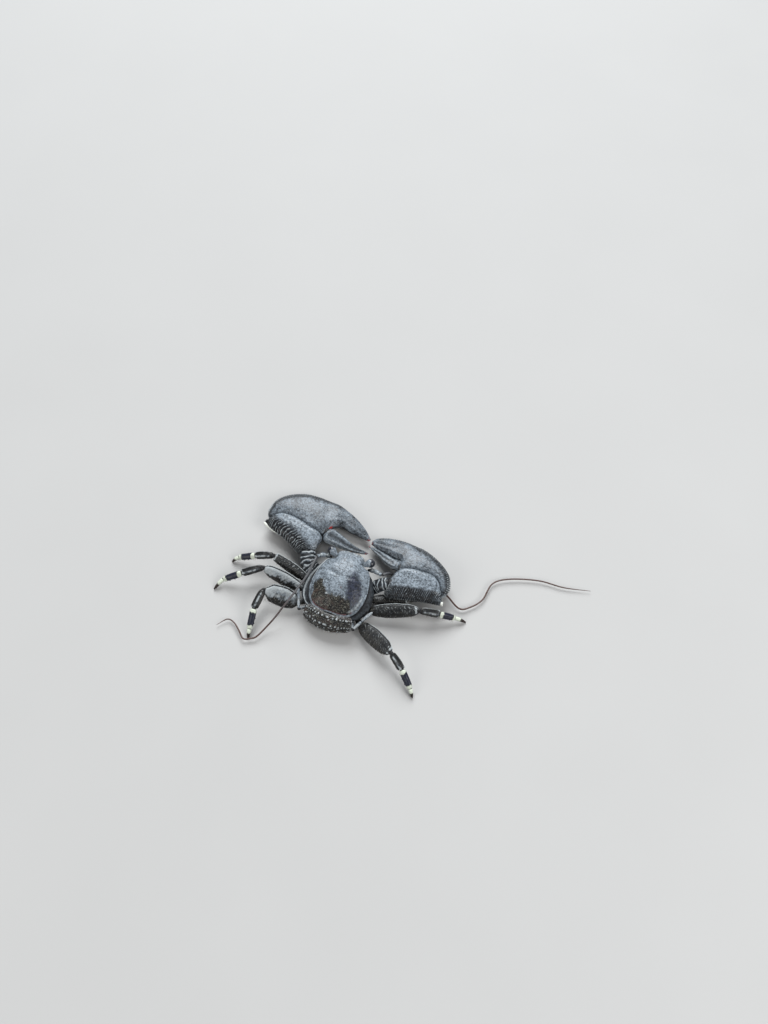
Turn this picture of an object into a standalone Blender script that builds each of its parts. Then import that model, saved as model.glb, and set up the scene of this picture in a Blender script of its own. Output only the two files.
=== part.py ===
"""A porcelain crab as it stands on a rock, life size, claws folded in front of its face.

Metres, +Z up, the head towards +Y and the floor at z = 0. While it is built the middle of the
carapace is over x = 0, y = 0, and at the end the whole crab is moved so that the origin is at
the middle of its box, on the floor. Every plate of the shell is one closed solid.
"""

import math

import bpy
import bmesh
from mathutils import Vector

MM = 0.001
GAP = 0.3 * MM                  # clear space between two plates that meet

# The carapace, seen from above
CARAPACE_FRONT = 6.35 * MM      # tip of the front, ahead of the middle
CARAPACE_REAR = 6.3 * MM        # rear margin, behind the middle
CARAPACE_HALF_WIDTH = 5.55 * MM
CARAPACE_TOP = 6.0 * MM
CARAPACE_BELLY = 2.45 * MM      # level of its flat underside
RIM_HEIGHT = 3.85 * MM          # level of the rounded edge at the sides
WALL_BULGE = 0.25               # how far the side walls stand out, as a share of the half width

# The plates underneath
STERNUM_TOP = CARAPACE_BELLY - GAP
STERNUM_THICKNESS = 0.65 * MM
STERNUM_HALF_WIDTH = 4.5 * MM
STERNUM_FRONT = 2.9 * MM
STERNUM_REAR = -5.2 * MM
ABDOMEN_THICKNESS = 0.6 * MM
ABDOMEN_HALF_WIDTH = 4.8 * MM
ABDOMEN_UNDER_TOP = STERNUM_TOP - STERNUM_THICKNESS - GAP

EYE_RADIUS = 0.86 * MM
FEELER_RADIUS = 0.26 * MM

SHELL = (0.045, 0.055, 0.065)
SHELL_UNDER = (0.30, 0.29, 0.25)
LEG = (0.035, 0.040, 0.038)
LEG_TIP = (0.55, 0.56, 0.47)
EYE = (0.02, 0.02, 0.022)
FEELER = (0.16, 0.10, 0.085)


def mm(x, y, z):
    """A point given in millimetres."""
    return Vector((x, y, z)) * MM


# Shapes along a line

def smooth(*stops):
    """A curve through (place, value) stops that never overshoots them."""
    xs = [s[0] for s in stops]
    ys = [s[1] for s in stops]
    rise = [(b - a) / (q - p) for a, b, p, q in zip(ys, ys[1:], xs, xs[1:])]
    slopes = [rise[0]]
    for before, after in zip(rise, rise[1:]):
        slopes.append(0.0 if before * after <= 0 else 2 * before * after / (before + after))
    slopes.append(rise[-1])

    def value(x):
        x = min(max(x, xs[0]), xs[-1])
        i = min(max(sum(1 for v in xs if v <= x) - 1, 0), len(rise) - 1)
        span = xs[i + 1] - xs[i]
        t = (x - xs[i]) / span
        bend = slopes[i] * span * t * (1 - t) ** 2 - slopes[i + 1] * span * t * t * (1 - t)
        return ys[i] * (1 + 2 * t) * (1 - t) ** 2 + ys[i + 1] * t * t * (3 - 2 * t) + bend

    return value


def spline(points, count):
    """That many points along a smooth curve through the given ones."""
    ends = [points[0] * 2 - points[1], *points, points[-1] * 2 - points[-2]]
    made = []
    for n in range(count):
        place = n * (len(points) - 1) / (count - 1)
        i = min(int(place), len(points) - 2)
        t = place - i
        a, b, c, d = ends[i:i + 4]
        made.append((b * 2 + (c - a) * t + (a * 2 - b * 5 + c * 4 - d) * t * t
                     + (b * 3 - a - c * 3 + d) * t ** 3) / 2)
    return made


def ripple(count, depth):
    """Low ridges across a plate: that many along its length."""
    return lambda t: depth * (0.5 - 0.5 * math.cos(2 * math.pi * count * t))


def rounded(value, power):
    """A cosine or sine drawn out towards the corners of a superellipse."""
    return math.copysign(abs(value) ** (2 / power), value)


def cross_section(centre, side, up, wide, high, sides, power=2.3):
    """One ring. wide and high each hold the reach either way from the centre."""
    ring = []
    for k in range(sides):
        turn = 2 * math.pi * k / sides
        across = rounded(math.cos(turn), power)
        above = rounded(math.sin(turn), power)
        ring.append(centre + side * across * (wide[1] if across > 0 else wide[0])
                    + up * above * (high[1] if above > 0 else high[0]))
    return ring


# Blender objects

def material(name, colour, roughness):
    made = bpy.data.materials.new(name)
    made.use_nodes = True
    shader = made.node_tree.nodes["Principled BSDF"]
    shader.inputs["Base Color"].default_value = (*colour, 1)
    shader.inputs["Roughness"].default_value = roughness
    made.diffuse_color = (*colour, 1)
    return made


def solid(name, rings, finish, floor=True):
    """A closed mesh through rings of equal, even size. Strips across the rings close the ends."""
    count = len(rings[0])
    shape = bmesh.new()
    rows = []
    for ring in rings:
        placed = [Vector((p.x, p.y, max(p.z, 0.0))) if floor else p for p in ring]
        rows.append([shape.verts.new(p) for p in placed])
    for row, after in zip(rows, rows[1:]):
        for k in range(count):
            shape.faces.new((row[k - 1], row[k], after[k], after[k - 1]))
    for row in (rows[0], rows[-1]):
        for k in range(count // 2):
            corners = dict.fromkeys((row[k], row[k + 1], row[-k - 1], row[-k]))
            shape.faces.new(tuple(corners))
    bmesh.ops.recalc_face_normals(shape, faces=shape.faces)
    mesh = bpy.data.meshes.new(name)
    shape.to_mesh(mesh)
    shape.free()
    mesh.materials.append(finish)
    mesh.shade_smooth()
    mesh.set_sharp_from_angle(angle=math.radians(50))
    made = bpy.data.objects.new(name, mesh)
    bpy.context.scene.collection.objects.link(made)
    return made


def plate(name, path, normal, wide, high, finish, steps, sides, power=2.3):
    """A solid along a path. normal is the way its broad face looks. wide and high give, for a
    place from 0 to 1 along it, the reach either way from the path."""
    line = spline(path, steps)
    rings = []
    for n, centre in enumerate(line):
        t = n / (steps - 1)
        before, after = line[max(n - 1, 0)], line[min(n + 1, steps - 1)]
        along = (after - before).normalized()
        side = along.cross(normal).normalized()
        up = side.cross(along)
        rings.append(cross_section(centre, side, up, wide(t), high(t), sides, power))
    return solid(name, rings, finish)


def even(half):
    """The same reach to both sides."""
    return lambda t: (half(t) * MM, half(t) * MM)


def uneven(left, right):
    """A reach of its own to either side."""
    return lambda t: (left(t) * MM, right(t) * MM)


# Carapace

RIM_HALF = (                    # right half of the rounded edge, from the front to the rear
    (0.0, 6.35), (0.8, 6.25), (1.6, 6.2), (2.35, 5.85), (2.7, 5.3), (2.7, 4.65), (3.2, 4.1),
    (4.1, 3.75), (4.65, 2.9), (5.2, 1.1), (5.5, -1.2), (5.3, -3.3), (4.6, -5.0), (3.4, -6.05),
    (1.7, -6.35), (0.0, -6.25),
)
RIM_SAMPLES = 24


def rim_points():
    """The whole edge, clockwise from the front, in the plane."""
    half = spline([mm(x, y, 0) for x, y in RIM_HALF], RIM_SAMPLES + 1)
    mirrored = [Vector((-p.x, p.y, 0)) for p in half[-2:0:-1]]
    return half + mirrored


def rim_height(y):
    share = y / CARAPACE_FRONT
    return RIM_HEIGHT + (0.25 * MM * share ** 3 if share > 0 else 0.4 * MM * share ** 3)


def groove(x, y):
    """Depth of the furrows that part the regions of the back, in metres."""
    x, y = abs(x) / MM, y / MM
    cervical = 0.16 * math.exp(-((y - 0.3 - 0.35 * x + 0.045 * x * x) / 0.42) ** 2)
    cervical *= 1 / (1 + math.exp(-(x - 0.9) * 4))
    heart = 0.12 * math.exp(-((x - 1.5 - 0.1 * (y + 3)) / 0.4) ** 2) / (1 + math.exp((y + 1) * 3))
    middle = 0.16 * math.exp(-((x / 0.4) ** 2)) / (1 + math.exp(-(y - 3.6) * 2.5))
    return (cervical + heart + middle) * MM


def dome(share, point):
    """Height of the back at a share of the way from its middle to the edge."""
    rim = rim_height(point.y / max(share, 0.01))
    fall = share ** 2.5 if point.y > 0 else share ** 2.2
    return rim + (CARAPACE_TOP - rim) * (1 - fall) - groove(point.x, point.y) * (1 - share ** 8)


def build_carapace(finish):
    """A dome out to its rounded edge, walls that bulge at the sides, and a flat underside."""
    rim = rim_points()
    middle = Vector((0, -0.2 * MM, 0))
    rings = []
    for share in (0.1, 0.25, 0.4, 0.54, 0.67, 0.78, 0.88, 0.95, 1.0):
        ring = []
        for p in rim:
            oval = Vector((p.x, p.y, 0)).normalized()
            oval = Vector((oval.x * CARAPACE_HALF_WIDTH, oval.y * CARAPACE_REAR, 0))
            place = middle + (oval.lerp(p, share ** 3) - middle) * share
            ring.append(Vector((place.x, place.y, dome(share, place))))
        rings.append(ring)
    # Each wall ring: share of the bulge, reach without it, level between the rim and the belly.
    for bulge, reach, fall in ((0.15, 0.0, 0.16), (0.75, 0.0, 0.34), (1.0, 0.0, 0.58),
                               (0.7, -0.02, 0.86), (0.2, -0.08, 1.0)):
        ring = []
        for p in rim:
            y = p.y / MM
            sides = smooth((-6.4, 0.05), (-5, 0.65), (-3, 1), (-0.5, 0.95), (1.5, 0.55), (2.6, 0.3), (4.2, -0.45))(y)
            stand = 1 + reach + WALL_BULGE * bulge * sides
            place = middle + (p - middle) * stand
            top = rim_height(p.y)
            ring.append(Vector((place.x, place.y, top + (CARAPACE_BELLY - top) * fall)))
        rings.append(ring)
    rings.append([middle + (p - middle) * 0.5 + Vector((0, 0, CARAPACE_BELLY)) for p in rim])
    return solid("carapace", rings, finish)


# Eyes

def build_eye(side, name, stalk_finish, eye_finish):
    """A short stalk and a ball, parted by a thin cut across them."""
    root = mm(3.15 * side, 4.88, 4.14)
    middle = mm(3.98 * side, 5.3, 4.5)
    along = (middle - root).normalized()
    across = along.cross(Vector((0, 0, 1))).normalized()
    up = across.cross(along)
    cut = math.radians(-40)
    stalk_length = (middle - root).length + EYE_RADIUS * math.sin(cut) - GAP

    def ring(centre, radius, sides):
        return cross_section(centre, across, up, (radius,) * 2, (radius,) * 2, sides, 2)

    stalk = [ring(root + along * stalk_length * t, EYE_RADIUS * (0.6 + 0.16 * t), 10) for t in (0.0, 0.5, 1.0)]
    solid(f"eyestalk_{name}", stalk, stalk_finish)
    turns = [cut + (math.radians(80) - cut) * n / 7 for n in range(8)]
    ball = [ring(middle + along * EYE_RADIUS * math.sin(u), EYE_RADIUS * math.cos(u), 12) for u in turns]
    solid(f"eye_{name}", ball, eye_finish)


# Feelers

PEDUNCLES = {"left": (mm(-4.6, 4.5, 3.2), mm(-5.5, 4.15, 3.6), mm(-6.1, 3.55, 4.05)),
             "right": (mm(4.6, 4.5, 3.2), mm(5.45, 4.4, 3.4), mm(6.35, 4.15, 3.6))}
FEELERS = {
    "left": (mm(-6.35, 3.1, 4.2), mm(-6.4, 1.6, 4.35), mm(-6.55, -0.7, 4.3), mm(-7.0, -3.0, 4.3),
             mm(-7.7, -5.8, 4.3), mm(-8.5, -8.4, 3.9), mm(-9.4, -10.3, 2.6), mm(-10.4, -12.1, 1.4),
             mm(-11.6, -14.5, 0.8), mm(-12.6, -15.3, 0.7), mm(-13.9, -15.75, 0.7),
             mm(-15.3, -14.6, 0.7), mm(-16.8, -13.5, 0.6), mm(-18.3, -13.3, 0.6),
             mm(-19.8, -15.0, 0.5)),
    "right": (mm(6.9, 4.2, 3.6), mm(7.5, 4.95, 3.1), mm(8.5, 5.6, 1.9), mm(10.6, 5.5, 1.5),
              mm(14.0, 5.5, 1.5), mm(17.2, 6.0, 1.6), mm(19.5, 5.3, 1.3), mm(22.6, 3.8, 0.7),
              mm(24.6, 4.9, 0.6), mm(26.3, 7.1, 0.6), mm(27.2, 10.9, 0.6), mm(30.2, 13.0, 0.6),
              mm(35.6, 14.6, 0.55), mm(40.5, 14.9, 0.5), mm(45.5, 16.0, 0.45)),
}
FEELER_LENGTHS = {"left": 3, "right": 4}


def build_feeler(name, finish, whip_finish):
    """The thick base of three rings and the long whip, which is parted into lengths."""
    bead = smooth((0, 0.42), (0.16, 0.52), (0.34, 0.4), (0.5, 0.48), (0.66, 0.36), (0.82, 0.4), (1, 0.3))
    plate(f"antenna_{name}_base", PEDUNCLES[name], Vector((0, 0, 1)), even(bead), even(bead), finish, 8, 8)
    count = FEELER_LENGTHS[name]
    samples = 60
    line = spline(FEELERS[name], samples * count + 1)
    for n in range(count):
        part = line[n * samples:(n + 1) * samples + 1]
        if n:
            part = [p for p in part if (p - part[0]).length > GAP]
        picked = part[::6] + ([part[-1]] if (len(part) - 1) % 6 else [])
        start, end = n / count, (n + 1) / count
        whip = smooth((0, 1.0), (0.9, 0.96), (1, 0.6))
        radius = lambda t, s=start, e=end: whip(s + (e - s) * t) * FEELER_RADIUS / MM
        rings = []
        for k, centre in enumerate(picked):
            before, after = picked[max(k - 1, 0)], picked[min(k + 1, len(picked) - 1)]
            along = (after - before).normalized()
            across = along.cross(Vector((0, 0, 1))).normalized()
            up = across.cross(along)
            reach = (radius(k / (len(picked) - 1)) * MM,) * 2
            rings.append(cross_section(centre, across, up, reach, reach, 6, 2))
        solid(f"antenna_{name}_whip_{n + 1}", rings, whip_finish)


# Underside

def build_sternum(finish):
    """The breast plate between the legs, with a furrow between each pair."""
    half = smooth((0, 0.5), (0.06, 0.66), (0.3, 0.9), (0.55, 1.0), (0.8, 0.93), (1, 0.72))
    steps = 19
    thick = STERNUM_THICKNESS / 2
    rings = []
    for n in range(steps):
        t = n / (steps - 1)
        centre = Vector((0, STERNUM_FRONT + (STERNUM_REAR - STERNUM_FRONT) * t, STERNUM_TOP - thick))
        wide = (half(t) * STERNUM_HALF_WIDTH,) * 2
        furrow = 0.14 * MM * (0.5 + 0.5 * math.cos(2 * math.pi * 4.5 * t))
        rings.append(cross_section(centre, Vector((1, 0, 0)), Vector((0, 0, 1)), wide,
                                   (thick - furrow, thick), 12, 3.5))
    solid("sternum", rings, finish)


def build_abdomen(finish):
    """Two bands of tail segments: one behind the carapace, one turned under the body."""
    thin = ABDOMEN_THICKNESS / 2
    under = ABDOMEN_UNDER_TOP - thin
    back = (mm(0, -7.05, 3.15), mm(0, -7.85, 2.95), mm(0, -8.6, 2.45), mm(0, -8.9, 1.9))
    turned = (mm(0, -8.7, 1.2), mm(0, -8.1, 0.88), Vector((0, -6.4 * MM, under)),
              Vector((0, -4.2 * MM, under)), Vector((0, -1.4 * MM, under)))
    wide_back = smooth((0, 0.86), (0.3, 0.98), (0.55, 1.0), (1, 0.98))
    wide_under = smooth((0, 0.95), (0.3, 0.92), (0.7, 0.84), (1, 0.66))

    def band(name, path, wide, arch, segments, steps):
        line = spline(path, steps)
        rings = []
        for n, centre in enumerate(line):
            t = n / (steps - 1)
            before, after = line[max(n - 1, 0)], line[min(n + 1, steps - 1)]
            along = (after - before).normalized()
            side = Vector((1, 0, 0))
            up = side.cross(along)
            notch = 0.5 + 0.5 * math.cos(2 * math.pi * segments * t)
            half = wide(t) * ABDOMEN_HALF_WIDTH - 0.22 * MM * notch
            outer = thin + 0.08 * MM - 0.16 * MM * notch
            ring = cross_section(centre, side, up, (half,) * 2, (outer, thin), 18, 2.6)
            rings.append([p + Vector((0, arch(t), 0)) * MM * (p.x / half) ** 2 for p in ring])
        solid(name, rings, finish)

    band("abdomen_back", back, wide_back, smooth((0, 0.3), (1, 1.1)), 2, 9)
    band("abdomen_under", turned, wide_under, smooth((0, 1.1), (0.3, 0.3), (1, 0)), 4, 17)


def build_tail_fan(finish):
    """The telson and a blade to either side of it, flat under the breast."""
    level = ABDOMEN_UNDER_TOP - ABDOMEN_THICKNESS / 2
    up = Vector((0, 0, 1))
    thin = smooth((0, 0.27), (0.5, 0.27), (1, 0.2))
    middle = smooth((0, 1.15), (0.35, 1.6), (0.75, 1.5), (1, 0.75))
    path = (Vector((0, -1.05 * MM, level)), Vector((0, 0.6 * MM, level)), Vector((0, 2.1 * MM, level)))
    plate("telson", path, up, even(middle), even(thin), finish, 8, 12, 3)
    blade = smooth((0, 0.4), (0.4, 0.85), (0.8, 0.8), (1, 0.35))
    for side, name in ((-1, "left"), (1, "right")):
        path = tuple(Vector((side * x * MM, y * MM, level)) for x, y in
                     ((2.45, -0.95), (2.85, 0.1), (2.9, 1.7)))
        plate(f"uropod_{name}", path, up, even(blade), even(thin), finish, 7, 10, 3)


def build_maxilliped(side, name, finish):
    """The broad outer mouth leg, laid forward under the head and hooked in at its end."""
    path = (mm(0.95 * side, 3.45, 1.7), mm(1.5 * side, 4.3, 1.65), mm(1.85 * side, 5.4, 1.7),
            mm(1.65 * side, 6.3, 2.0), mm(0.95 * side, 6.95, 2.5))
    wide = smooth((0, 0.45), (0.15, 0.75), (0.35, 0.85), (0.55, 0.7), (0.75, 0.42), (1, 0.25))
    high = smooth((0, 0.26), (0.3, 0.34), (0.6, 0.32), (1, 0.25))
    plate(f"maxilliped_{name}", path, Vector((0, -0.4, 1)), even(wide), even(high), finish, 11, 8)


# Walking legs: hip, bend at the edge of the carapace, knee, wrist, ankle, tip

LEGS = {
    "left_2": (mm(-4.85, -0.7, 1.7), mm(-6.9, -0.9, 1.95), mm(-14.6, 0.9, 3.1),
               mm(-18.1, -0.1, 2.4), mm(-21.5, -1.1, 1.05), mm(-22.6, -2.1, 0.1)),
    "left_3": (mm(-4.85, -2.6, 1.7), mm(-7.2, -3.0, 1.95), mm(-15.4, -2.1, 3.2),
               mm(-19.0, -4.4, 2.6), mm(-22.4, -6.4, 1.1), mm(-23.5, -8.6, 0.1)),
    "left_4": (mm(-4.6, -4.45, 1.7), mm(-6.8, -5.9, 1.95), mm(-13.5, -6.3, 3.2),
               mm(-13.9, -10.1, 2.45), mm(-13.45, -13.8, 1.0), mm(-13.2, -15.3, 0.1)),
    "right_2": (mm(4.85, -0.7, 1.7), mm(6.5, -0.6, 1.75), mm(12.9, 2.1, 1.4),
                mm(15.9, 3.4, 1.2), mm(17.7, 5.4, 0.75), mm(18.1, 7.0, 0.1)),
    "right_3": (mm(4.85, -2.6, 1.7), mm(7.1, -2.8, 1.95), mm(15.8, 0.0, 3.0),
                mm(19.5, 0.85, 2.3), mm(22.5, 1.6, 1.0), mm(24.6, 1.8, 0.1)),
    "right_4": (mm(4.6, -4.45, 1.7), mm(6.2, -6.1, 1.95), mm(13.6, -9.6, 3.2),
                mm(16.3, -11.6, 2.4), mm(18.9, -14.1, 1.0), mm(19.7, -15.3, 0.1)),
}
MERUS_HALF_WIDTH = {"left_2": 1.1, "left_3": 1.4, "left_4": 1.95, "right_2": 1.0, "right_3": 1.35,
                    "right_4": 1.6}
MERUS_THICKNESS = 0.5
LEG_ROLL = {"left_2": 40, "left_3": 42, "left_4": 32, "right_2": 0, "right_3": 40, "right_4": 30}


def joint_gap(before, after, half):
    """How far each of two plates stops short of the joint between them."""
    bend = before.angle(after)
    return GAP / 2 + half * math.sin(bend / 2)


def stretch(start, end, trim_start, trim_end):
    along = (end - start).normalized()
    return start + along * trim_start, end - along * trim_end


def build_leg(name, finish, tip_finish):
    hip, bend, knee, wrist, ankle, tip = LEGS[name]
    roll = math.radians(LEG_ROLL[name])
    normal = Vector((0, -math.sin(roll), math.cos(roll)))
    width = MERUS_HALF_WIDTH[name]
    thigh, shin, foot, nail = knee - bend, wrist - knee, ankle - wrist, tip - ankle
    at_knee = joint_gap(thigh, shin, 0.62 * MM)
    at_wrist = joint_gap(shin, foot, 0.35 * MM)
    at_ankle = joint_gap(foot, nail, 0.4 * MM)

    end = stretch(bend, knee, 0, at_knee)[1]
    path = (hip, bend, bend.lerp(end, 0.5), end)
    wide = smooth((0, 0.5), (0.3, 0.62), (0.42, width * 0.75), (0.62, width), (0.85, width * 0.86), (1, 0.6))
    high = smooth((0, 0.32), (0.3, 0.38), (0.5, MERUS_THICKNESS), (0.85, MERUS_THICKNESS), (1, 0.42))
    ridge = ripple(7, 0.1)
    plate(f"leg_{name}_merus", path, normal, even(wide),
          uneven(high, lambda t: high(t) + ridge(t) * (t > 0.35)), finish, 15, 10)

    start, end = stretch(knee, wrist, at_knee, at_wrist)
    middle = start.lerp(end, 0.5) + Vector((0, 0, 0.15 * MM))
    wide = smooth((0, 0.42), (0.2, 0.6), (0.7, 0.72), (1, 0.55))
    high = smooth((0, 0.36), (0.3, 0.48), (0.8, 0.5), (1, 0.4))
    plate(f"leg_{name}_carpus", (start, middle, end), normal, even(wide), even(high), finish, 6, 8)

    start, end = stretch(wrist, ankle, at_wrist, at_ankle)
    wide = smooth((0, 0.46), (0.2, 0.62), (0.7, 0.6), (1, 0.42))
    high = smooth((0, 0.36), (0.3, 0.5), (0.8, 0.46), (1, 0.34))
    plate(f"leg_{name}_propodus", (start, start.lerp(end, 0.5), end), normal, even(wide), even(high),
          finish, 6, 8)

    start = stretch(ankle, tip, at_ankle, 0)[0]
    middle = start.lerp(tip, 0.5) + Vector((0, 0, 0.16 * MM))
    wide = smooth((0, 0.36), (0.3, 0.38), (0.75, 0.26), (1, 0.14))
    high = smooth((0, 0.3), (0.3, 0.36), (0.75, 0.26), (1, 0.14))
    plate(f"leg_{name}_dactyl", (start, middle, tip), Vector((0, 0, 1)), even(wide), even(high),
          tip_finish, 6, 8)


SMALL_LEGS = {
    "left": (mm(-4.15, -5.5, 1.7), mm(-5.8, -7.4, 2.9), mm(-7.45, -3.6, 3.3)),
    "right": (mm(4.15, -5.5, 1.7), mm(5.65, -7.65, 3.05), mm(7.7, -3.8, 3.75)),
}


def build_small_leg(name, finish, tip_finish):
    """The thin last leg, folded up beside the rear of the carapace."""
    root, elbow, tip = SMALL_LEGS[name]
    wide = smooth((0, 0.28), (0.5, 0.36), (1, 0.3))
    end = stretch(root, elbow, 0, GAP / 2)[1]
    plate(f"leg_{name}_5_merus", (root, root.lerp(end, 0.5), end), Vector((0, 0, 1)), even(wide),
          even(wide), finish, 4, 8)
    start = stretch(elbow, tip, 0.75 * MM, 0)[0]
    hand = smooth((0, 0.28), (0.2, 0.36), (0.45, 0.3), (0.7, 0.42), (0.9, 0.36), (1, 0.14))
    plate(f"leg_{name}_5_hand", (start, start.lerp(tip, 0.5) + mm(0, 0, 0.1), tip), Vector((0, 0, 1)),
          even(hand), even(hand), tip_finish, 8, 8)


# Chelipeds, the broad flat claws. Every plate lies between two edges, given by matching points.

CLAW_ARMS = {
    "left": (mm(-4.9, 1.3, 1.85), mm(-6.3, 1.4, 1.95), mm(-7.7, 2.15, 2.35), mm(-8.45, 3.7, 2.6)),
    "right": (mm(4.9, 1.3, 1.85), mm(5.9, 1.5, 1.85), mm(6.8, 2.3, 2.55), mm(7.4, 2.7, 3.0)),
}
ARM_HALF_WIDTH = {"left": 1.65, "right": 1.3}
CARPUS_EDGES = {
    # Towards the palm, then towards the rear, both from the body out to the tooth.
    "left": (
        (mm(-7.5, 4.95, 2.8), mm(-7.15, 7.2, 2.9), mm(-8.2, 8.35, 3.0), mm(-10.3, 8.85, 3.0),
         mm(-12.6, 9.55, 2.9), mm(-15.4, 9.9, 2.7), mm(-17.1, 9.55, 2.5), mm(-18.3, 8.35, 2.4),
         mm(-19.2, 7.7, 2.4)),
        (mm(-9.95, 3.5, 2.5), mm(-10.4, 3.35, 2.45), mm(-10.95, 3.5, 2.4), mm(-12.0, 4.1, 2.3),
         mm(-13.4, 4.95, 2.2), mm(-15.4, 5.7, 2.2), mm(-17.2, 6.2, 2.2), mm(-18.5, 6.75, 2.2),
         mm(-19.45, 7.25, 2.3)),
    ),
    "right": (
        (mm(8.6, 4.0, 3.7), mm(9.0, 5.2, 3.7), mm(10.15, 6.45, 3.6), mm(11.8, 7.0, 3.6),
         mm(13.7, 7.1, 3.6), mm(15.6, 7.1, 3.5), mm(17.0, 6.45, 3.4), mm(17.95, 5.0, 3.3),
         mm(18.7, 3.45, 3.2), mm(19.3, 2.85, 3.1)),
        (mm(8.35, 2.0, 3.3), mm(8.4, 0.8, 3.1), mm(9.3, 0.45, 3.0), mm(10.6, 0.7, 2.9),
         mm(12.2, 1.15, 2.9), mm(13.9, 1.55, 2.9), mm(15.6, 1.85, 2.9), mm(17.2, 2.1, 2.9),
         mm(18.5, 2.3, 2.9), mm(19.4, 2.5, 3.0)),
    ),
}
CARPUS_TOP = {
    "left": smooth((0, 0.75), (0.15, 1.2), (0.5, 1.45), (0.8, 1.15), (0.93, 0.6), (1, 0.22)),
    "right": smooth((0, 0.75), (0.15, 1.15), (0.5, 1.4), (0.8, 1.1), (0.93, 0.6), (1, 0.22)),
}
CARPUS_BELLY = {
    "left": smooth((0, 0.6), (0.2, 1.2), (0.7, 1.15), (0.93, 0.6), (1, 0.22)),
    "right": smooth((0, 0.55), (0.2, 1.0), (0.7, 1.0), (0.93, 0.6), (1, 0.22)),
}
PALM_EDGES = {
    # Towards the body, then the outer rim, both from the outer end in to the tip of the fixed finger.
    "left": (
        (mm(-18.95, 8.35, 2.1), mm(-18.25, 9.2, 2.2), mm(-17.2, 9.95, 2.3), mm(-15.5, 10.25, 2.4),
         mm(-12.6, 9.9, 2.55), mm(-10.3, 9.2, 2.6), mm(-8.3, 8.75, 2.55), mm(-7.3, 8.65, 2.45),
         mm(-6.35, 10.5, 2.2), mm(-4.7, 11.7, 1.8), mm(-2.5, 11.15, 1.7), mm(-0.3, 11.0, 1.5),
         mm(1.55, 10.85, 1.3)),
        (mm(-19.4, 8.8, 2.0), mm(-19.7, 10.4, 1.85), mm(-19.3, 12.2, 1.65), mm(-18.05, 13.95, 1.5),
         mm(-15.95, 15.4, 1.4), mm(-13.4, 16.2, 1.35), mm(-10.9, 16.4, 1.3), mm(-8.95, 16.3, 1.3),
         mm(-6.9, 16.15, 1.3), mm(-4.75, 15.5, 1.25), mm(-2.2, 14.35, 1.25), mm(0.15, 12.8, 1.2),
         mm(1.7, 11.3, 1.2)),
    ),
    "right": (
        (mm(18.95, 3.9, 3.0), mm(18.35, 5.3, 3.05), mm(17.35, 6.75, 3.1), mm(15.8, 7.4, 3.1),
         mm(13.7, 7.45, 3.1), mm(11.75, 7.25, 3.1), mm(10.2, 6.75, 3.0), mm(9.35, 6.35, 2.9),
         mm(9.35, 8.2, 2.5), mm(7.4, 8.75, 2.1), mm(5.7, 9.25, 1.8), mm(3.6, 9.9, 1.5),
         mm(2.25, 10.35, 1.25)),
        (mm(19.4, 4.25, 2.85), mm(19.75, 6.1, 2.65), mm(19.2, 7.8, 2.4), mm(18.2, 9.15, 2.15),
         mm(16.7, 10.45, 1.95), mm(14.8, 11.55, 1.75), mm(12.8, 12.35, 1.6), mm(11.0, 12.7, 1.5),
         mm(8.95, 12.95, 1.4), mm(7.05, 12.9, 1.35), mm(5.05, 12.6, 1.3), mm(3.1, 12.0, 1.2),
         mm(2.2, 11.1, 1.2)),
    ),
}
PALM_TOP = smooth((0, 0.3), (0.08, 0.8), (0.2, 1.2), (0.42, 1.4), (0.62, 1.15), (0.8, 0.85), (1, 0.35))
PALM_BELLY = {
    "left": smooth((0, 0.3), (0.08, 0.85), (0.25, 1.45), (0.5, 2.0), (0.7, 1.6), (0.85, 1.0), (1, 0.4)),
    "right": smooth((0, 0.3), (0.08, 0.55), (0.25, 1.0), (0.5, 1.5), (0.7, 1.85), (0.85, 1.1), (1, 0.4)),
}
FINGER_EDGES = {
    # Towards the body, then towards the fixed finger, both from the hinge to the tip.
    "left": (
        (mm(-7.05, 8.25, 2.5), mm(-6.5, 7.25, 2.4), mm(-3.9, 7.2, 2.0), mm(-1.0, 7.3, 1.6),
         mm(2.1, 7.95, 1.3)),
        (mm(-6.2, 10.05, 2.5), mm(-5.3, 10.3, 2.3), mm(-3.0, 9.55, 2.0), mm(-0.7, 8.75, 1.7),
         mm(2.3, 8.35, 1.3)),
    ),
    "right": (
        (mm(8.8, 6.2, 2.9), mm(7.75, 6.4, 2.6), mm(6.2, 7.05, 2.2), mm(4.3, 8.3, 1.7),
         mm(1.9, 9.75, 1.2)),
        (mm(8.85, 7.75, 2.7), mm(7.7, 8.1, 2.4), mm(5.9, 8.7, 2.0), mm(4.2, 9.2, 1.6),
         mm(2.0, 9.95, 1.2)),
    ),
}
CARPUS_STEPS = 41
PALM_STEPS = 53
FLANK_RIDGE = 0.05              # mm, half the height of the ridges on the wrist's rear flank
RIM_TOOTH = 0.08                # mm, half the height of the teeth along the palm's outer rim
FINGER_TOP = smooth((0, 0.7), (0.2, 0.95), (0.6, 0.75), (1, 0.2))
FINGER_BELLY = smooth((0, 0.6), (0.2, 0.85), (0.6, 0.65), (1, 0.2))


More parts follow.
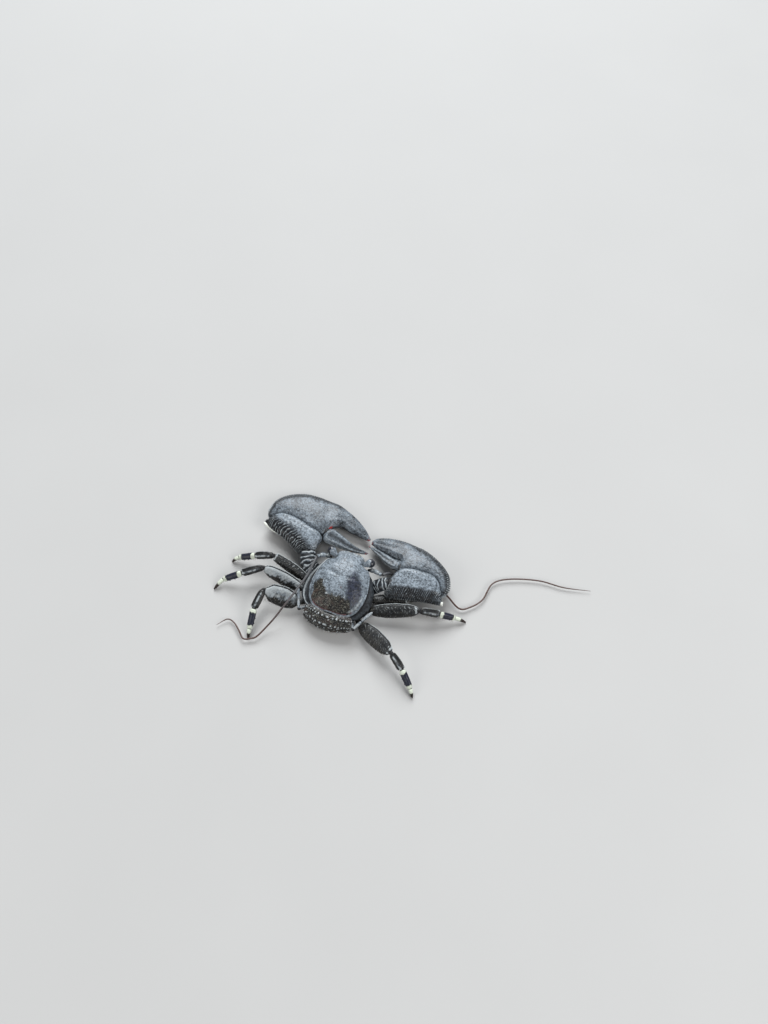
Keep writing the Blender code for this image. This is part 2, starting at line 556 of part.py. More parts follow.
def blade(name, edges, top, belly, finish, steps, sides, relief=None, power=2.3):
    """A solid between two edges. top and belly give its reach above and below them, in
    millimetres, for a place from 0 to 1 along them. relief lifts the surface at such a place
    and at a share of the turn round it, which starts at the second edge and goes over the top."""
    one, other = [spline(edge, steps) for edge in edges]
    middle = [(a + b) / 2 for a, b in zip(one, other)]
    rings = []
    for n, centre in enumerate(middle):
        t = n / (steps - 1)
        side = (other[n] - one[n]).normalized()
        along = (middle[min(n + 1, steps - 1)] - middle[max(n - 1, 0)]).normalized()
        up = side.cross(along)
        up = (up if up.z > 0 else -up).normalized()
        half = (other[n] - one[n]).length / 2
        ring = cross_section(centre, side, up, (half,) * 2, (belly(t) * MM, top(t) * MM), sides, power)
        if relief:
            ring = [p + (p - centre).normalized() * relief(t, k / sides) * MM for k, p in enumerate(ring)]
        rings.append(ring)
    return solid(name, rings, finish)


def teeth(steps, depth, start, end):
    """Relief of small teeth, one at every other ring, over a share of the turn."""
    def lift(t, turn):
        on = start <= turn <= end and 0.06 < t < 0.94
        return depth * math.cos(math.pi * (steps - 1) * t) * on

    return lift


def build_claw(name, finish):
    widest = ARM_HALF_WIDTH[name]
    wide = smooth((0, 1.0), (0.35, 0.8 * widest), (0.7, widest), (1, 0.75 * widest))
    high = smooth((0, 0.35), (0.35, 0.45), (0.75, 0.85), (1, 0.6))
    ridge = ripple(5, 0.14)
    plate(f"cheliped_{name}_merus", CLAW_ARMS[name], Vector((0, 0, 1)), even(wide),
          uneven(high, lambda t: high(t) + ridge(t) * (0.3 < t < 0.95)), finish, 11, 10)
    blade(f"cheliped_{name}_carpus", CARPUS_EDGES[name], CARPUS_TOP[name], CARPUS_BELLY[name], finish,
          CARPUS_STEPS, 14, teeth(CARPUS_STEPS, FLANK_RIDGE, 0.0, 0.16))
    blade(f"cheliped_{name}_palm", PALM_EDGES[name], PALM_TOP, PALM_BELLY[name], finish,
          PALM_STEPS, 14, teeth(PALM_STEPS, RIM_TOOTH, 0.0, 0.0))
    blade(f"cheliped_{name}_finger", FINGER_EDGES[name], FINGER_TOP, FINGER_BELLY, finish, 12, 10)


def centre_on_floor(objects):
    """Moves everything so that the middle of the box is over the origin and its foot at z = 0."""
    corners = [o.matrix_world @ v.co for o in objects for v in o.data.vertices]
    low = Vector(min(c[i] for c in corners) for i in range(3))
    high = Vector(max(c[i] for c in corners) for i in range(3))
    shift = Vector(((low.x + high.x) / 2, (low.y + high.y) / 2, low.z))
    for o in objects:
        for v in o.data.vertices:
            v.co -= shift


def main():
    for old in list(bpy.data.objects):
        bpy.data.objects.remove(old)
    shell = material("shell", SHELL, 0.45)
    under = material("shell_under", SHELL_UNDER, 0.5)
    leg = material("leg", LEG, 0.45)
    leg_tip = material("leg_tip", LEG_TIP, 0.4)
    eye = material("eye", EYE, 0.15)
    feeler = material("feeler", FEELER, 0.45)

    build_carapace(shell)
    build_sternum(under)
    build_abdomen(shell)
    build_tail_fan(under)
    for side, name in ((-1, "left"), (1, "right")):
        build_eye(side, name, shell, eye)
        build_feeler(name, shell, feeler)
        build_maxilliped(side, name, under)
        build_claw(name, shell)
        build_small_leg(name, leg, leg)
    for name in LEGS:
        build_leg(name, leg, leg_tip)
    centre_on_floor(list(bpy.context.scene.objects))


main()
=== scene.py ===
"""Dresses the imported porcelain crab: shell, claws, eyes, feelers, legs, joint skin and hairs.

The CAD solids are the frame. Each visible piece is lofted from the same named places as its solid,
with the ridges, teeth, furrows and bands that the shell has, and stands for that solid.
"""

import math
from types import SimpleNamespace

import bpy
import numpy as np
from bpy.props import FloatProperty, FloatVectorProperty, PointerProperty
from mathutils import Matrix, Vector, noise


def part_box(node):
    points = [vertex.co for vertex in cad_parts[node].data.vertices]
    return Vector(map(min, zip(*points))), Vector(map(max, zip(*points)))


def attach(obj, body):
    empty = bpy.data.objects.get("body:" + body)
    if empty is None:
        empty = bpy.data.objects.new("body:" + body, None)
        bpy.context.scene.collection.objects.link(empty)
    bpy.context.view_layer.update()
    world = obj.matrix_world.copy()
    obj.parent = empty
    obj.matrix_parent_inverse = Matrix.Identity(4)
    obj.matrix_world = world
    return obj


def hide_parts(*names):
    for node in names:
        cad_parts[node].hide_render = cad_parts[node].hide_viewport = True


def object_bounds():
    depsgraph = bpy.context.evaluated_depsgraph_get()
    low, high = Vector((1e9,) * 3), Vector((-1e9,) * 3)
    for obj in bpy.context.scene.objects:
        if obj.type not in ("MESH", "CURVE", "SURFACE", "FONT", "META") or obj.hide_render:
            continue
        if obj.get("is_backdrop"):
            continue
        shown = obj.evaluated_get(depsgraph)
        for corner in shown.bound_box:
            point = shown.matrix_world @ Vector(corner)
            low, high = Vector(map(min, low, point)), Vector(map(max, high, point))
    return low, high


bl_info = {
    "name": "Porcelain crab",
    "version": (1, 0, 0),
    "blender": (4, 5, 0),
    "location": "3D View > Sidebar > Crab",
    "description": "Builds the shell, claws, legs and finishes of a porcelain crab round its solids",
    "category": "Add Mesh",
}

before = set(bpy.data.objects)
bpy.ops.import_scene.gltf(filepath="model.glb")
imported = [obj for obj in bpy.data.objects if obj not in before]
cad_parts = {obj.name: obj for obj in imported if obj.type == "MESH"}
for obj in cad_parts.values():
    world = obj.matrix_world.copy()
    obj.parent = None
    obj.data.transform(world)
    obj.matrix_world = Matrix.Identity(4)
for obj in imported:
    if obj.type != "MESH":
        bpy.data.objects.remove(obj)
CAD_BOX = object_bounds()

MM = 0.001
CARAPACE_FRONT = 6.35           # mm from the middle of the carapace to the tip of its front
LOW, HIGH = (np.array(corner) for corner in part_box("carapace"))
HEART = np.array(((LOW[0] + HIGH[0]) / 2, HIGH[1] - CARAPACE_FRONT * MM, 0.0))
UP = (0, 0, 1.0)
SIDES = ((-1, "left"), (1, "right"))


def mm(x, y, z):
    """A place in millimetres from the floor under the middle of the carapace."""
    return HEART + np.array((x, y, z)) * MM


def route(*points):
    """Places along a line, each in millimetres from the floor under the middle of the carapace."""
    return tuple(mm(*point) for point in points)


def srgb(red, green, blue):
    """A colour as a paint chart gives it, from 0 to 255, in linear light."""
    parts = (v / 255 for v in (red, green, blue))
    return tuple(v / 12.92 if v < 0.04045 else ((v + 0.055) / 1.055) ** 2.4 for v in parts)


# Sizes and colours that a user would change

class CrabSizes(bpy.types.PropertyGroup):
    """Fine sizes of the shell."""
    grain: FloatProperty(name="Grain", description="Width of the grains on the claws",
                         default=0.24 * MM, unit="LENGTH")
    ridge: FloatProperty(name="Ridge", description="Height of the raised lines on the wrists",
                         default=0.1 * MM, unit="LENGTH")
    tooth: FloatProperty(name="Rim tooth", description="Height of the teeth along the claws' rims",
                         default=0.09 * MM, unit="LENGTH")
    hair: FloatProperty(name="Hair", description="Thickness of a hair at its root",
                        default=0.045 * MM, unit="LENGTH")
    annulus: FloatProperty(name="Feeler ring", description="Length of one ring of a feeler",
                           default=0.26 * MM, unit="LENGTH")


def colour(name, description, tone):
    """A colour that a user can change."""
    return FloatVectorProperty(name=name, description=description, subtype="COLOR", size=3,
                               min=0, max=1, default=tone)


class CrabColours(bpy.types.PropertyGroup):
    """Tones of the shell."""
    slate: colour("Slate", "Blue-grey of the front of the back and the claws", srgb(78, 86, 93))
    # Mist is also the tone of the painted sheen that the light mark lays on upper faces.
    mist_and_sheen: colour("Mist", "Palest blue-grey of worn high places", srgb(157, 168, 178))
    ink: colour("Ink", "Blue-black of furrows and joints", srgb(15, 16, 19))
    olive: colour("Olive", "Brown-olive of the rear of the back", srgb(46, 43, 37))
    speck: colour("Speck", "Small pale dots on dark shell", srgb(146, 145, 134))
    violet: colour("Violet", "Purplish sheen right of the heart", srgb(42, 46, 65))
    crest: colour("Crest", "White-grey of raised lines, teeth and edges", srgb(176, 182, 184))
    bone: colour("Bone", "White of the teeth on the wrists", srgb(228, 230, 222))
    band: colour("Band", "Greenish white of the bands on the legs", srgb(214, 220, 204))
    navy: colour("Navy", "Blue-black between those bands", srgb(27, 30, 46))
    nail: colour("Nail", "Dark brown of the horny leg tips", srgb(54, 33, 21))
    coral: colour("Coral", "Red spots at the finger tips and the gape", srgb(188, 58, 52))
    feeler: colour("Feeler", "Grey root of the feelers", srgb(88, 89, 92))
    rust: colour("Rust", "Reddish brown of the feelers further out", srgb(84, 58, 50))
    belly: colour("Belly", "Pale grey of the underside", srgb(150, 148, 136))
    # Skin: the soft joint skin, kept nearly black as painted shade in the gaps between plates.
    skin: colour("Skin", "Soft skin between the plates", srgb(32, 27, 26))
    hair: colour("Hair", "Stiff hairs", srgb(112, 98, 78))


# Shapes along a line

def stops(*pairs):
    """A curve through (place, value) pairs that never overshoots them."""
    xs, ys = np.array(pairs, float).T
    rise = np.diff(ys) / np.diff(xs)
    before, after = rise[:-1], rise[1:]
    same = before * after > 0
    inner = np.where(same, 2 * before * after / np.where(same, before + after, 1), 0)
    slopes = np.concatenate((rise[:1], inner, rise[-1:]))

    def value(x):
        x = np.clip(x, xs[0], xs[-1])
        i = np.clip(np.searchsorted(xs, x, side="right") - 1, 0, len(rise) - 1)
        span = xs[i + 1] - xs[i]
        t = (x - xs[i]) / span
        bend = slopes[i] * span * t * (1 - t) ** 2 - slopes[i + 1] * span * t * t * (1 - t)
        return ys[i] * (1 + 2 * t) * (1 - t) ** 2 + ys[i + 1] * t * t * (3 - 2 * t) + bend

    return value


def curve(points, t):
    """Places along a smooth curve through the points, for shares t of the way."""
    knots = np.array(points)
    ends = np.vstack((2 * knots[0] - knots[1], knots, 2 * knots[-1] - knots[-2]))
    place = np.asarray(t) * (len(knots) - 1)
    i = np.minimum(place.astype(int), len(knots) - 2)
    u = (place - i)[:, None]
    a, b, c, d = ends[i], ends[i + 1], ends[i + 2], ends[i + 3]
    return (2 * b + (c - a) * u + (2 * a - 5 * b + 4 * c - d) * u ** 2 + (3 * b - a - 3 * c + d) * u ** 3) / 2


def unit(vectors):
    """The vectors, each made one long."""
    return vectors / (np.linalg.norm(vectors, axis=-1, keepdims=True) + 1e-15)


def step(low, high, value):
    """A smooth rise from 0 at low to 1 at high."""
    t = np.clip((value - low) / (high - low), 0, 1)
    return t * t * (3 - 2 * t)


def near(turn, place, width):
    """1 at a share of the turn round a piece, fading over a width to either side."""
    away = np.abs((turn - place + 0.5) % 1 - 0.5)
    return np.exp(-(away / width) ** 2)


def hump(t, place, width):
    """1 at a place, fading over a width to either side."""
    return np.exp(-((t - place) / width) ** 2)


def humps(t, places, width):
    """The sum of humps of one width at several places."""
    return sum(hump(t, place, width) for place in places)


def beat(t, count, shift=0.0):
    """A soft wave from 0 to 1 that rises a number of times."""
    return 0.5 + 0.5 * np.cos(2 * np.pi * (t * count + shift))


def saw(phase):
    """A ridge once a turn of the phase: a slow rise and a steep fall, from 0 to 1."""
    part = phase % 1
    return np.where(part < 0.72, part / 0.72, (1 - part) / 0.28) ** 1.4


def lumps(places, size, seed=0.0):
    """Smooth noise from -1 to 1 whose lumps have a size in millimetres."""
    scaled = (places / (size * MM) + seed).reshape(-1, 3).tolist()
    return np.fromiter((noise.noise(p) for p in scaled), float, len(scaled)).reshape(places.shape[:-1])


def granules(places, size):
    """Low round grains of a size in millimetres, from 0 between them to 1 on their tops."""
    scaled = (places / (size * MM)).reshape(-1, 3).tolist()
    away = np.fromiter((noise.voronoi(p)[0][0] for p in scaled), float, len(scaled))
    return np.clip(1 - (away / 0.6) ** 2, 0, 1).reshape(places.shape[:-1])


# Rings: arrays of places, ring by ring and round each ring

def turn_of(rings):
    """Share of the turn round the piece, for every place of the rings."""
    steps, sides = rings.shape[:2]
    return np.ones((steps, 1)) * np.arange(sides)[None, :] / sides


def cross_sections(line, side, up, wide, high, sides, power):
    """Rings round a line. wide is the reach to either side, high the reach below and above."""
    angle = 2 * np.pi * np.arange(sides) / sides
    across = np.sign(np.cos(angle)) * np.abs(np.cos(angle)) ** (2 / power)
    above = np.sign(np.sin(angle)) * np.abs(np.sin(angle)) ** (2 / power)
    wide = wide[:, None] * across
    high = np.where(above > 0, high[1][:, None], high[0][:, None]) * above
    return line[:, None] + side[:, None] * wide[..., None] + up[:, None] * high[..., None]


def domed(t, start, end):
    """Factor that rounds a piece off over its first and last share."""
    near_start = np.sqrt(np.clip(1 - (1 - np.minimum(t / start, 1)) ** 2, 0, 1)) if start else 1
    near_end = np.sqrt(np.clip(1 - (1 - np.minimum((1 - t) / end, 1)) ** 2, 0, 1)) if end else 1
    return np.maximum(near_start * near_end, 0.03)


def places_along(steps, start, end):
    """Shares of the way, closer together at the ends where both are rounded off."""
    t = np.linspace(0, 1, steps)
    return t - np.sin(2 * np.pi * t) / (2 * np.pi) * (0.6 if start and end else 0)


def plate(path, normal, wide, high, steps, sides, power=2.3, round_off=(0.0, 0.0)):
    """Rings along a path, with their shares of the way and of the turn. normal is the way the broad
    face looks; wide and high are curves that give the half width and half height in millimetres."""
    t = places_along(steps, *round_off)
    line = curve(path, t)
    ahead = unit(np.gradient(line, axis=0))
    side = unit(np.cross(ahead, np.array(normal, float)))
    up = np.cross(side, ahead)
    fit = domed(t, *round_off)
    wide, high = (reach(t) * MM * fit for reach in (wide, high))
    return with_shares(cross_sections(line, side, up, wide, (high, high), sides, power), t)


def blade(edges, top, belly, steps, sides, round_off, power=2.3):
    """Rings between two edges of matching points, with their shares of the way and of the turn."""
    t = places_along(steps, *round_off)
    one, other = (curve(edge, t) for edge in edges)
    middle = (one + other) / 2
    side = unit(other - one)
    up = np.cross(side, unit(np.gradient(middle, axis=0)))
    up = unit(np.where(up[:, 2:] > 0, up, -up))
    half = np.linalg.norm(other - one, axis=1) / 2
    fit = domed(t, *round_off)
    high = (belly(t) * MM * fit, top(t) * MM * fit)
    return with_shares(cross_sections(middle, side, up, half, high, sides, power), t)


def with_shares(rings, t):
    """The rings, with the share of the way and of the turn for each of their places."""
    return rings, t[:, None] * np.ones((1, rings.shape[1])), turn_of(rings)


def outward(rings):
    """Unit normals of the rings' surface."""
    ahead = np.gradient(rings, axis=0)
    around = np.roll(rings, -1, axis=1) - np.roll(rings, 1, axis=1)
    normal = unit(np.cross(around, ahead))
    middle = rings.mean(axis=1, keepdims=True)
    return normal if ((rings - middle) * normal).sum() > 0 else -normal


def raised(rings, height):
    """The rings with their surface lifted by a height in millimetres at each place."""
    return rings + outward(rings) * (height * MM)[..., None]


def eased(rings, share, reach):
    """The rings smoothed along the piece over a number of rings, by a share at each place."""
    away = np.arange(-3 * reach, 3 * reach + 1)
    weights = np.exp(-(away / reach) ** 2)
    padded = np.pad(rings, ((3 * reach, 3 * reach), (0, 0), (0, 0)), mode="edge")
    soft = sum(w * padded[k:k + len(rings)] for k, w in enumerate(weights)) / weights.sum()
    return rings + (soft - rings) * share[..., None]


def inset(rings):
    """Millimetres in from the edge at the start of each ring's turn, seen from above."""
    return np.linalg.norm((rings - rings[:, :1])[..., :2], axis=-1) / MM


# Pieces

def piece(name, rings, material, slot, replaced=(), **marks):
    """A closed smooth mesh through the rings, riding on the body. Marks are kept for the finish."""
    rings = rings.copy()
    rings[..., 2] = np.maximum(rings[..., 2], 0)
    steps, sides = rings.shape[:2]
    index = np.arange(steps * sides).reshape(steps, sides)
    a, b = index[:-1], index[1:]
    faces = np.stack((a, np.roll(a, -1, 1), np.roll(b, -1, 1), b), axis=-1).reshape(-1, 4).tolist()
    for row, turned in ((index[0], True), (index[-1], False)):
        for k in range(sides // 2):
            corners = list(dict.fromkeys((row[k], row[k + 1], row[-k - 1], row[-k])))
            faces.append([int(c) for c in (corners[::-1] if turned else corners)])
    places = rings.reshape(-1, 3)
    mesh = bpy.data.meshes.new(name)
    mesh.from_pydata(places.tolist(), [], faces)
    normal = outward(rings)
    trial = np.cross(rings[0, 1] - rings[0, 0], rings[1, 0] - rings[0, 0])
    if trial @ normal[0, 0] < 0:
        mesh.flip_normals()
    mesh.shade_smooth()
    for mark, values in marks.items():
        held = mesh.attributes.new(mark, "FLOAT", "POINT")
        held.data.foreach_set("value", np.clip(np.broadcast_to(values, (steps, sides)), 0, 1).ravel())
    mesh.materials.append(material)
    return placed(name, mesh, slot, replaced)


def placed(name, mesh, slot, replaced=()):
    """The mesh as a piece that rides on the body. The slot is not used."""
    made = bpy.data.objects.new(name, mesh)
    bpy.context.scene.collection.objects.link(made)
    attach(made, "root")
    if replaced:
        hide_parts(*replaced)
    return made


# Finishes

class Value:
    """A number, colour or vector in a finish. Arithmetic on it adds the nodes that work it out."""

    def __init__(self, finish, socket):
        self.finish = finish
        self.socket = socket

    def math(self, operation, *values):
        """The node that works out an operation on the values."""
        return self.finish.node("Math", {"operation": operation}, dict(enumerate(values)))

    def __add__(self, other):
        return self.math("ADD", self, other)

    def __radd__(self, other):
        return self.math("ADD", other, self)

    def __sub__(self, other):
        return self.math("SUBTRACT", self, other)

    def __rsub__(self, other):
        return self.math("SUBTRACT", other, self)

    def __mul__(self, other):
        return self.math("MULTIPLY", self, other)

    def __rmul__(self, other):
        return self.math("MULTIPLY", other, self)


class Finish:
    """A procedural material."""

    def __init__(self, name):
        self.material = bpy.data.materials.new(name)
        self.material.use_nodes = True
        self.tree = self.material.node_tree
        self.shader = self.tree.nodes["Principled BSDF"]
        self.place = self.node("TexCoord", output="Object")

    def node(self, kind, settings=None, sockets=None, output=0):
        """A node of a kind, set first and then joined, as the value it gives."""
        made = self.tree.nodes.new(f"ShaderNode{kind}")
        for key, value in (settings or {}).items():
            setattr(made, key, value)
        for key, value in (sockets or {}).items():
            self.join(value, made.inputs[key])
        return Value(self, made.outputs[output])

    def join(self, value, socket):
        """Links a value to a socket, or sets the socket to a number or colour."""
        if isinstance(value, Value):
            self.tree.links.new(value.socket, socket)
        elif socket.type == "RGBA":
            socket.default_value = (*tuple(value)[:3], 1)
        else:
            socket.default_value = value

    def clouds(self, size, detail=2.0, rough=0.5):
        """Noise from 0 to 1 with lumps of a size in millimetres."""
        sockets = {"Vector": self.place, "Scale": 1 / (size * MM), "Detail": detail, "Roughness": rough}
        return self.node("TexNoise", {}, sockets)

    def cells(self, size, spread=1.0):
        """Distance from the middle of cells of a size in millimetres."""
        sockets = {"Vector": self.place, "Scale": 1 / (size * MM), "Randomness": spread}
        return self.node("TexVoronoi", {}, sockets, "Distance")

    def mark(self, name):
        """What the mesh holds under this name at each place."""
        return self.node("Attribute", {"attribute_name": name}, output="Fac")

    def rise(self, value, low, high):
        """A smooth rise from 0 at low to 1 at high."""
        return self.node("MapRange", {"interpolation_type": "SMOOTHSTEP"},
                         {"Value": value, "From Min": low, "From Max": high})

    def patch(self, name, noise, spread, low, high):
        """A mark whose edge the noise breaks up."""
        return self.rise(self.mark(name) + (noise - 0.5) * spread, low, high)

    def mix(self, share, one, other):
        """One colour passing into another."""
        return self.node("Mix", {"data_type": "RGBA"}, {0: share, 6: one, 7: other}, 2)

    def bump(self, height, depth):
        """A normal from a height of 0 to 1 that stands for a depth in millimetres."""
        return self.node("Bump", {}, {"Height": height, "Strength": 1.0, "Distance": depth * MM})

    def done(self, base, roughness, normal=None, **constants):
        """The material, with its colour, roughness and normal joined and the rest set."""
        self.join(base, self.shader.inputs["Base Color"])
        self.join(roughness, self.shader.inputs["Roughness"])
        if normal:
            self.join(normal, self.shader.inputs["Normal"])
        for key, value in constants.items():
            self.join(value, self.shader.inputs[key.replace("_", " ")])
        return self.material


def wet_shell(f, scene):
    """Wet shell, mottled and grained. Marks say where it takes the painted sheen of the light mark, where it
    is dark (its own dark pattern, and painted shade), pale, rear, violet or red.
    """
    tones = scene.crab_colours
    fine = f.clouds(0.42, 4, 0.7)
    mottle = fine * 0.7 + f.clouds(1.4, 3, 0.6) * 0.3
    base = f.mix(f.rise(mottle, 0.42, 0.6), tones.ink, tones.slate)
    # The paler tone, slate to mist, is laid by the light mark as painted sheen on upper faces.
    light = f.mix(f.rise(mottle, 0.36, 0.6), tones.slate, tones.mist_and_sheen)
    light = f.mix(f.rise(f.clouds(0.24, 2), 0.46, 0.36) * 0.65, light, tones.ink)
    base = f.mix(f.mark("light"), base, light)
    violet = f.mix(f.rise(fine, 0.35, 0.65), tones.ink, tones.violet)
    base = f.mix(f.patch("violet", fine, 0.9, 0.1, 1.0) * 0.95, base, violet)
    olive = f.mix(f.rise(fine, 0.42, 0.6), tones.ink, tones.olive)
    olive = f.mix(f.rise(f.clouds(1.5, 3, 0.6), 0.5, 0.66) * 0.4, olive, tones.rust)
    olive = f.mix(f.rise(f.clouds(0.22, 4, 0.8), 0.53, 0.64) * 0.85, olive, tones.speck)
    base = f.mix(f.patch("rear", fine, 1.1, 0.32, 0.68), base, olive)
    base = f.mix(f.mark("grain") * 0.5, base, tones.mist_and_sheen)
    # The dark mark is partly the shell's own dark pattern and partly painted shade under edges and on
    # undersides.
    base = f.mix(f.mark("dark") * 0.95, base, tones.ink)
    base = f.mix(f.patch("pale", fine, 0.5, 0.25, 0.85), base, tones.crest)
    base = f.mix(f.mark("white"), base, tones.bone)
    base = f.mix(f.mark("red"), base, tones.coral)
    grains = f.rise(f.cells(scene.crab_sizes.grain / MM), 0.7, 0.1)
    rough = 0.32 + fine * 0.24 + f.mark("rear") * 0.06
    return f.done(base, rough, f.bump(grains * 0.4 + f.clouds(0.12, 2) * 0.3, 0.035), Coat_Weight=0.25,
                  Coat_Roughness=0.2, Specular_IOR_Level=0.25)


def banded_leg(f, scene):
    """Near-black shell with pale lines, white bands and a horny tip where the marks say so."""
    tones = scene.crab_colours
    fine = f.clouds(0.3, 4, 0.7)
    mottle = fine * 0.6 + f.clouds(1.1, 3, 0.6) * 0.4
    base = f.mix(f.rise(mottle, 0.42, 0.6), tones.ink, tones.olive)
    base = f.mix(f.rise(f.clouds(0.2, 3, 0.7), 0.57, 0.67) * 0.7, base, tones.speck)
    blue = f.mix(f.rise(mottle, 0.36, 0.56), tones.slate, tones.mist_and_sheen)
    blue = f.mix(f.rise(f.clouds(0.8, 3, 0.6), 0.42, 0.58) * 0.85, blue, tones.crest)
    blue = f.mix(f.rise(f.clouds(0.22, 2), 0.46, 0.36) * 0.65, blue, tones.ink)
    base = f.mix(f.mark("blue"), base, blue)
    base = f.mix(f.mark("dark") * 0.9, base, tones.ink)
    base = f.mix(f.mark("navy"), base, tones.navy)
    base = f.mix(f.patch("pale", fine, 0.5, 0.25, 0.85), base, tones.crest)
    base = f.mix(f.patch("band", fine, 0.5, 0.25, 0.75), base, tones.band)
    base = f.mix(f.mark("nail"), base, f.mix(fine, tones.ink, tones.nail))
    return f.done(base, 0.32 + fine * 0.2, f.bump(f.clouds(0.14, 3, 0.6), 0.035), Coat_Weight=0.25,
                  Coat_Roughness=0.22, Specular_IOR_Level=0.25)


def pale_belly(f, scene):
    """Smooth pale shell of the underside, mottled with grey."""
    tones = scene.crab_colours
    fine = f.clouds(0.5, 4, 0.6)
    base = f.mix(f.rise(fine, 0.4, 0.62), tones.slate, tones.belly)
    base = f.mix(f.mark("dark") * 0.7, base, tones.ink)
    base = f.mix(f.mark("pale") * 0.7, base, tones.crest)
    return f.done(base, 0.38 + fine * 0.15, f.bump(f.clouds(0.2, 3, 0.6), 0.03), Coat_Weight=0.2,
                  Coat_Roughness=0.2)


def cornea(f, scene):
    """Dark cornea under a clear wet coat, with a fine net of facets, and a mottled pale cap that is partly
    the stalk's pale rim and partly a painted reflection.
    """
    tones = scene.crab_colours
    net = f.cells(0.07, 0.15)
    cloud = f.clouds(0.3, 3, 0.65)
    # The pale cap is partly the stalk's pale rim and partly a painted reflection.
    pale_cap_and_reflection = f.mix(f.rise(cloud, 0.3, 0.7), tones.slate, tones.mist_and_sheen)
    base = f.mix(f.rise(net, 0.5, 0.25) * 0.1, f.mix(cloud * 0.6, tones.ink, tones.violet), tones.slate)
    base = f.mix(f.mark("pale"), base, pale_cap_and_reflection)
    return f.done(base, 0.16 + f.mark("pale") * 0.15, f.bump(f.rise(net, 0.6, 0.1), 0.008), Coat_Weight=0.6,
                  Coat_Roughness=0.06)


def ringed_feeler(f, scene):
    """Ringed whip: grey near the head, reddish brown further out, darker between the rings."""
    tones = scene.crab_colours
    fine = f.clouds(0.4, 3, 0.6)
    base = f.mix(f.patch("out", fine, 0.3, 0.15, 0.6), tones.feeler, tones.rust)
    base = f.mix(f.mark("dark") * 0.55, base, tones.ink)
    return f.done(base, 0.4 + fine * 0.15, f.bump(fine, 0.01), Coat_Weight=0.2, Coat_Roughness=0.25)


def joint_skin(f, scene):
    """Soft dull skin, nearly black with brown clouds; the near-black stands as painted shade in the gaps
    between plates.
    """
    tones = scene.crab_colours
    fine = f.clouds(0.25, 3, 0.6)
    base = f.mix(f.rise(fine, 0.42, 0.66), tones.ink, tones.skin)
    return f.done(base, 0.5 + fine * 0.15, f.bump(fine, 0.05))


def stiff_hair(f, scene):
    """Straw-brown hair with redder stretches."""
    tones = scene.crab_colours
    base = f.mix(f.rise(f.clouds(0.8, 2, 0.5), 0.4, 0.6), tones.hair, tones.rust)
    return f.done(base, f.clouds(0.3) * 0.1 + 0.4)


def finish(recipe, context):
    """The material of a recipe, named for it and made once."""
    name = recipe.__name__
    return bpy.data.materials.get(name) or recipe(Finish(name), context.scene)


# Carapace

CARAPACE_REAR = 6.3             # sizes and places in the tables of this part are in millimetres
CARAPACE_HALF_WIDTH = 5.55
CARAPACE_TOP = 6.0
CARAPACE_BELLY = 2.45
RIM_HEIGHT = 3.85
WALL_BULGE = 0.25
AROUND = 400                    # places in each ring of the carapace
CROWN_RINGS, EDGE_RINGS, WALL_RINGS, INSIDE_RINGS = 116, 30, 50, 14
RIM_HALF = (                    # right half of the rounded edge, from the front to the rear
    (0.0, 6.35), (0.8, 6.25), (1.6, 6.2), (2.35, 5.85), (2.7, 5.3), (2.7, 4.65), (3.2, 4.1),
    (4.1, 3.75), (4.65, 2.9), (5.2, 1.1), (5.5, -1.2), (5.3, -3.3), (4.6, -5.0), (3.4, -6.05),
    (1.7, -6.35), (0.0, -6.25),
)
LOBES = (                       # low swellings of the back: x, y, radius and height
    (0.95, 4.6, 0.75, 0.10), (2.3, 3.0, 1.1, 0.09), (3.9, 2.2, 0.8, 0.08), (0.0, 1.9, 1.3, 0.06),
    (3.6, -0.4, 1.3, 0.08), (0.0, -2.6, 1.3, 0.07), (3.2, -3.4, 1.4, 0.07),
)
REAR_BORDER = stops(            # y at which the dark rear starts, for x
    (-5.6, -1.0), (-3.4, -1.4), (-2.4, -2.7), (-1.5, -3.5), (0.3, -3.3), (2.6, -3.2), (3.4, -3.8),
    (4.2, -5.4), (5.2, -6.8),
)
VIOLET_AT = (3.05, -1.2)        # middle of the purplish oval, and its half width and half length
VIOLET_SIZE = (1.65, 3.5)
SCAR_AT = (0.6, -1.6)


def rim_height(y):
    """Height of the carapace's edge."""
    share = y / CARAPACE_FRONT
    return RIM_HEIGHT + np.where(share > 0, 0.25, 0.4) * share ** 3


def furrows(x, y):
    """Depth in millimetres of the furrows that part the regions of the back."""
    x = np.abs(x)
    cervical = 0.12 * np.exp(-((y - 0.3 - 0.35 * x + 0.045 * x * x) / 0.34) ** 2)
    cervical /= 1 + np.exp(-(x - 0.9) * 4)
    heart = 0.05 * np.exp(-((x - 1.5 - 0.1 * (y + 3)) / 0.34) ** 2) / (1 + np.exp((y + 1) * 3))
    middle = 0.12 * np.exp(-((x / 0.34) ** 2)) / (1 + np.exp(-(y - 3.6) * 2.5))
    cheek = 0.1 * np.exp(-((y - 1.9 - 0.5 * (x - 3)) / 0.3) ** 2) * step(2.6, 3.4, x)
    return cervical + heart + middle + cheek


def swellings(x, y):
    """Height in millimetres of the low swellings of the back."""
    total = 0
    for cx, cy, radius, height in LOBES:
        for side in (-1, 1) if cx else (1,):
            total = total + height * np.exp(-((x - side * cx) ** 2 + (y - cy) ** 2) / radius ** 2)
    return total


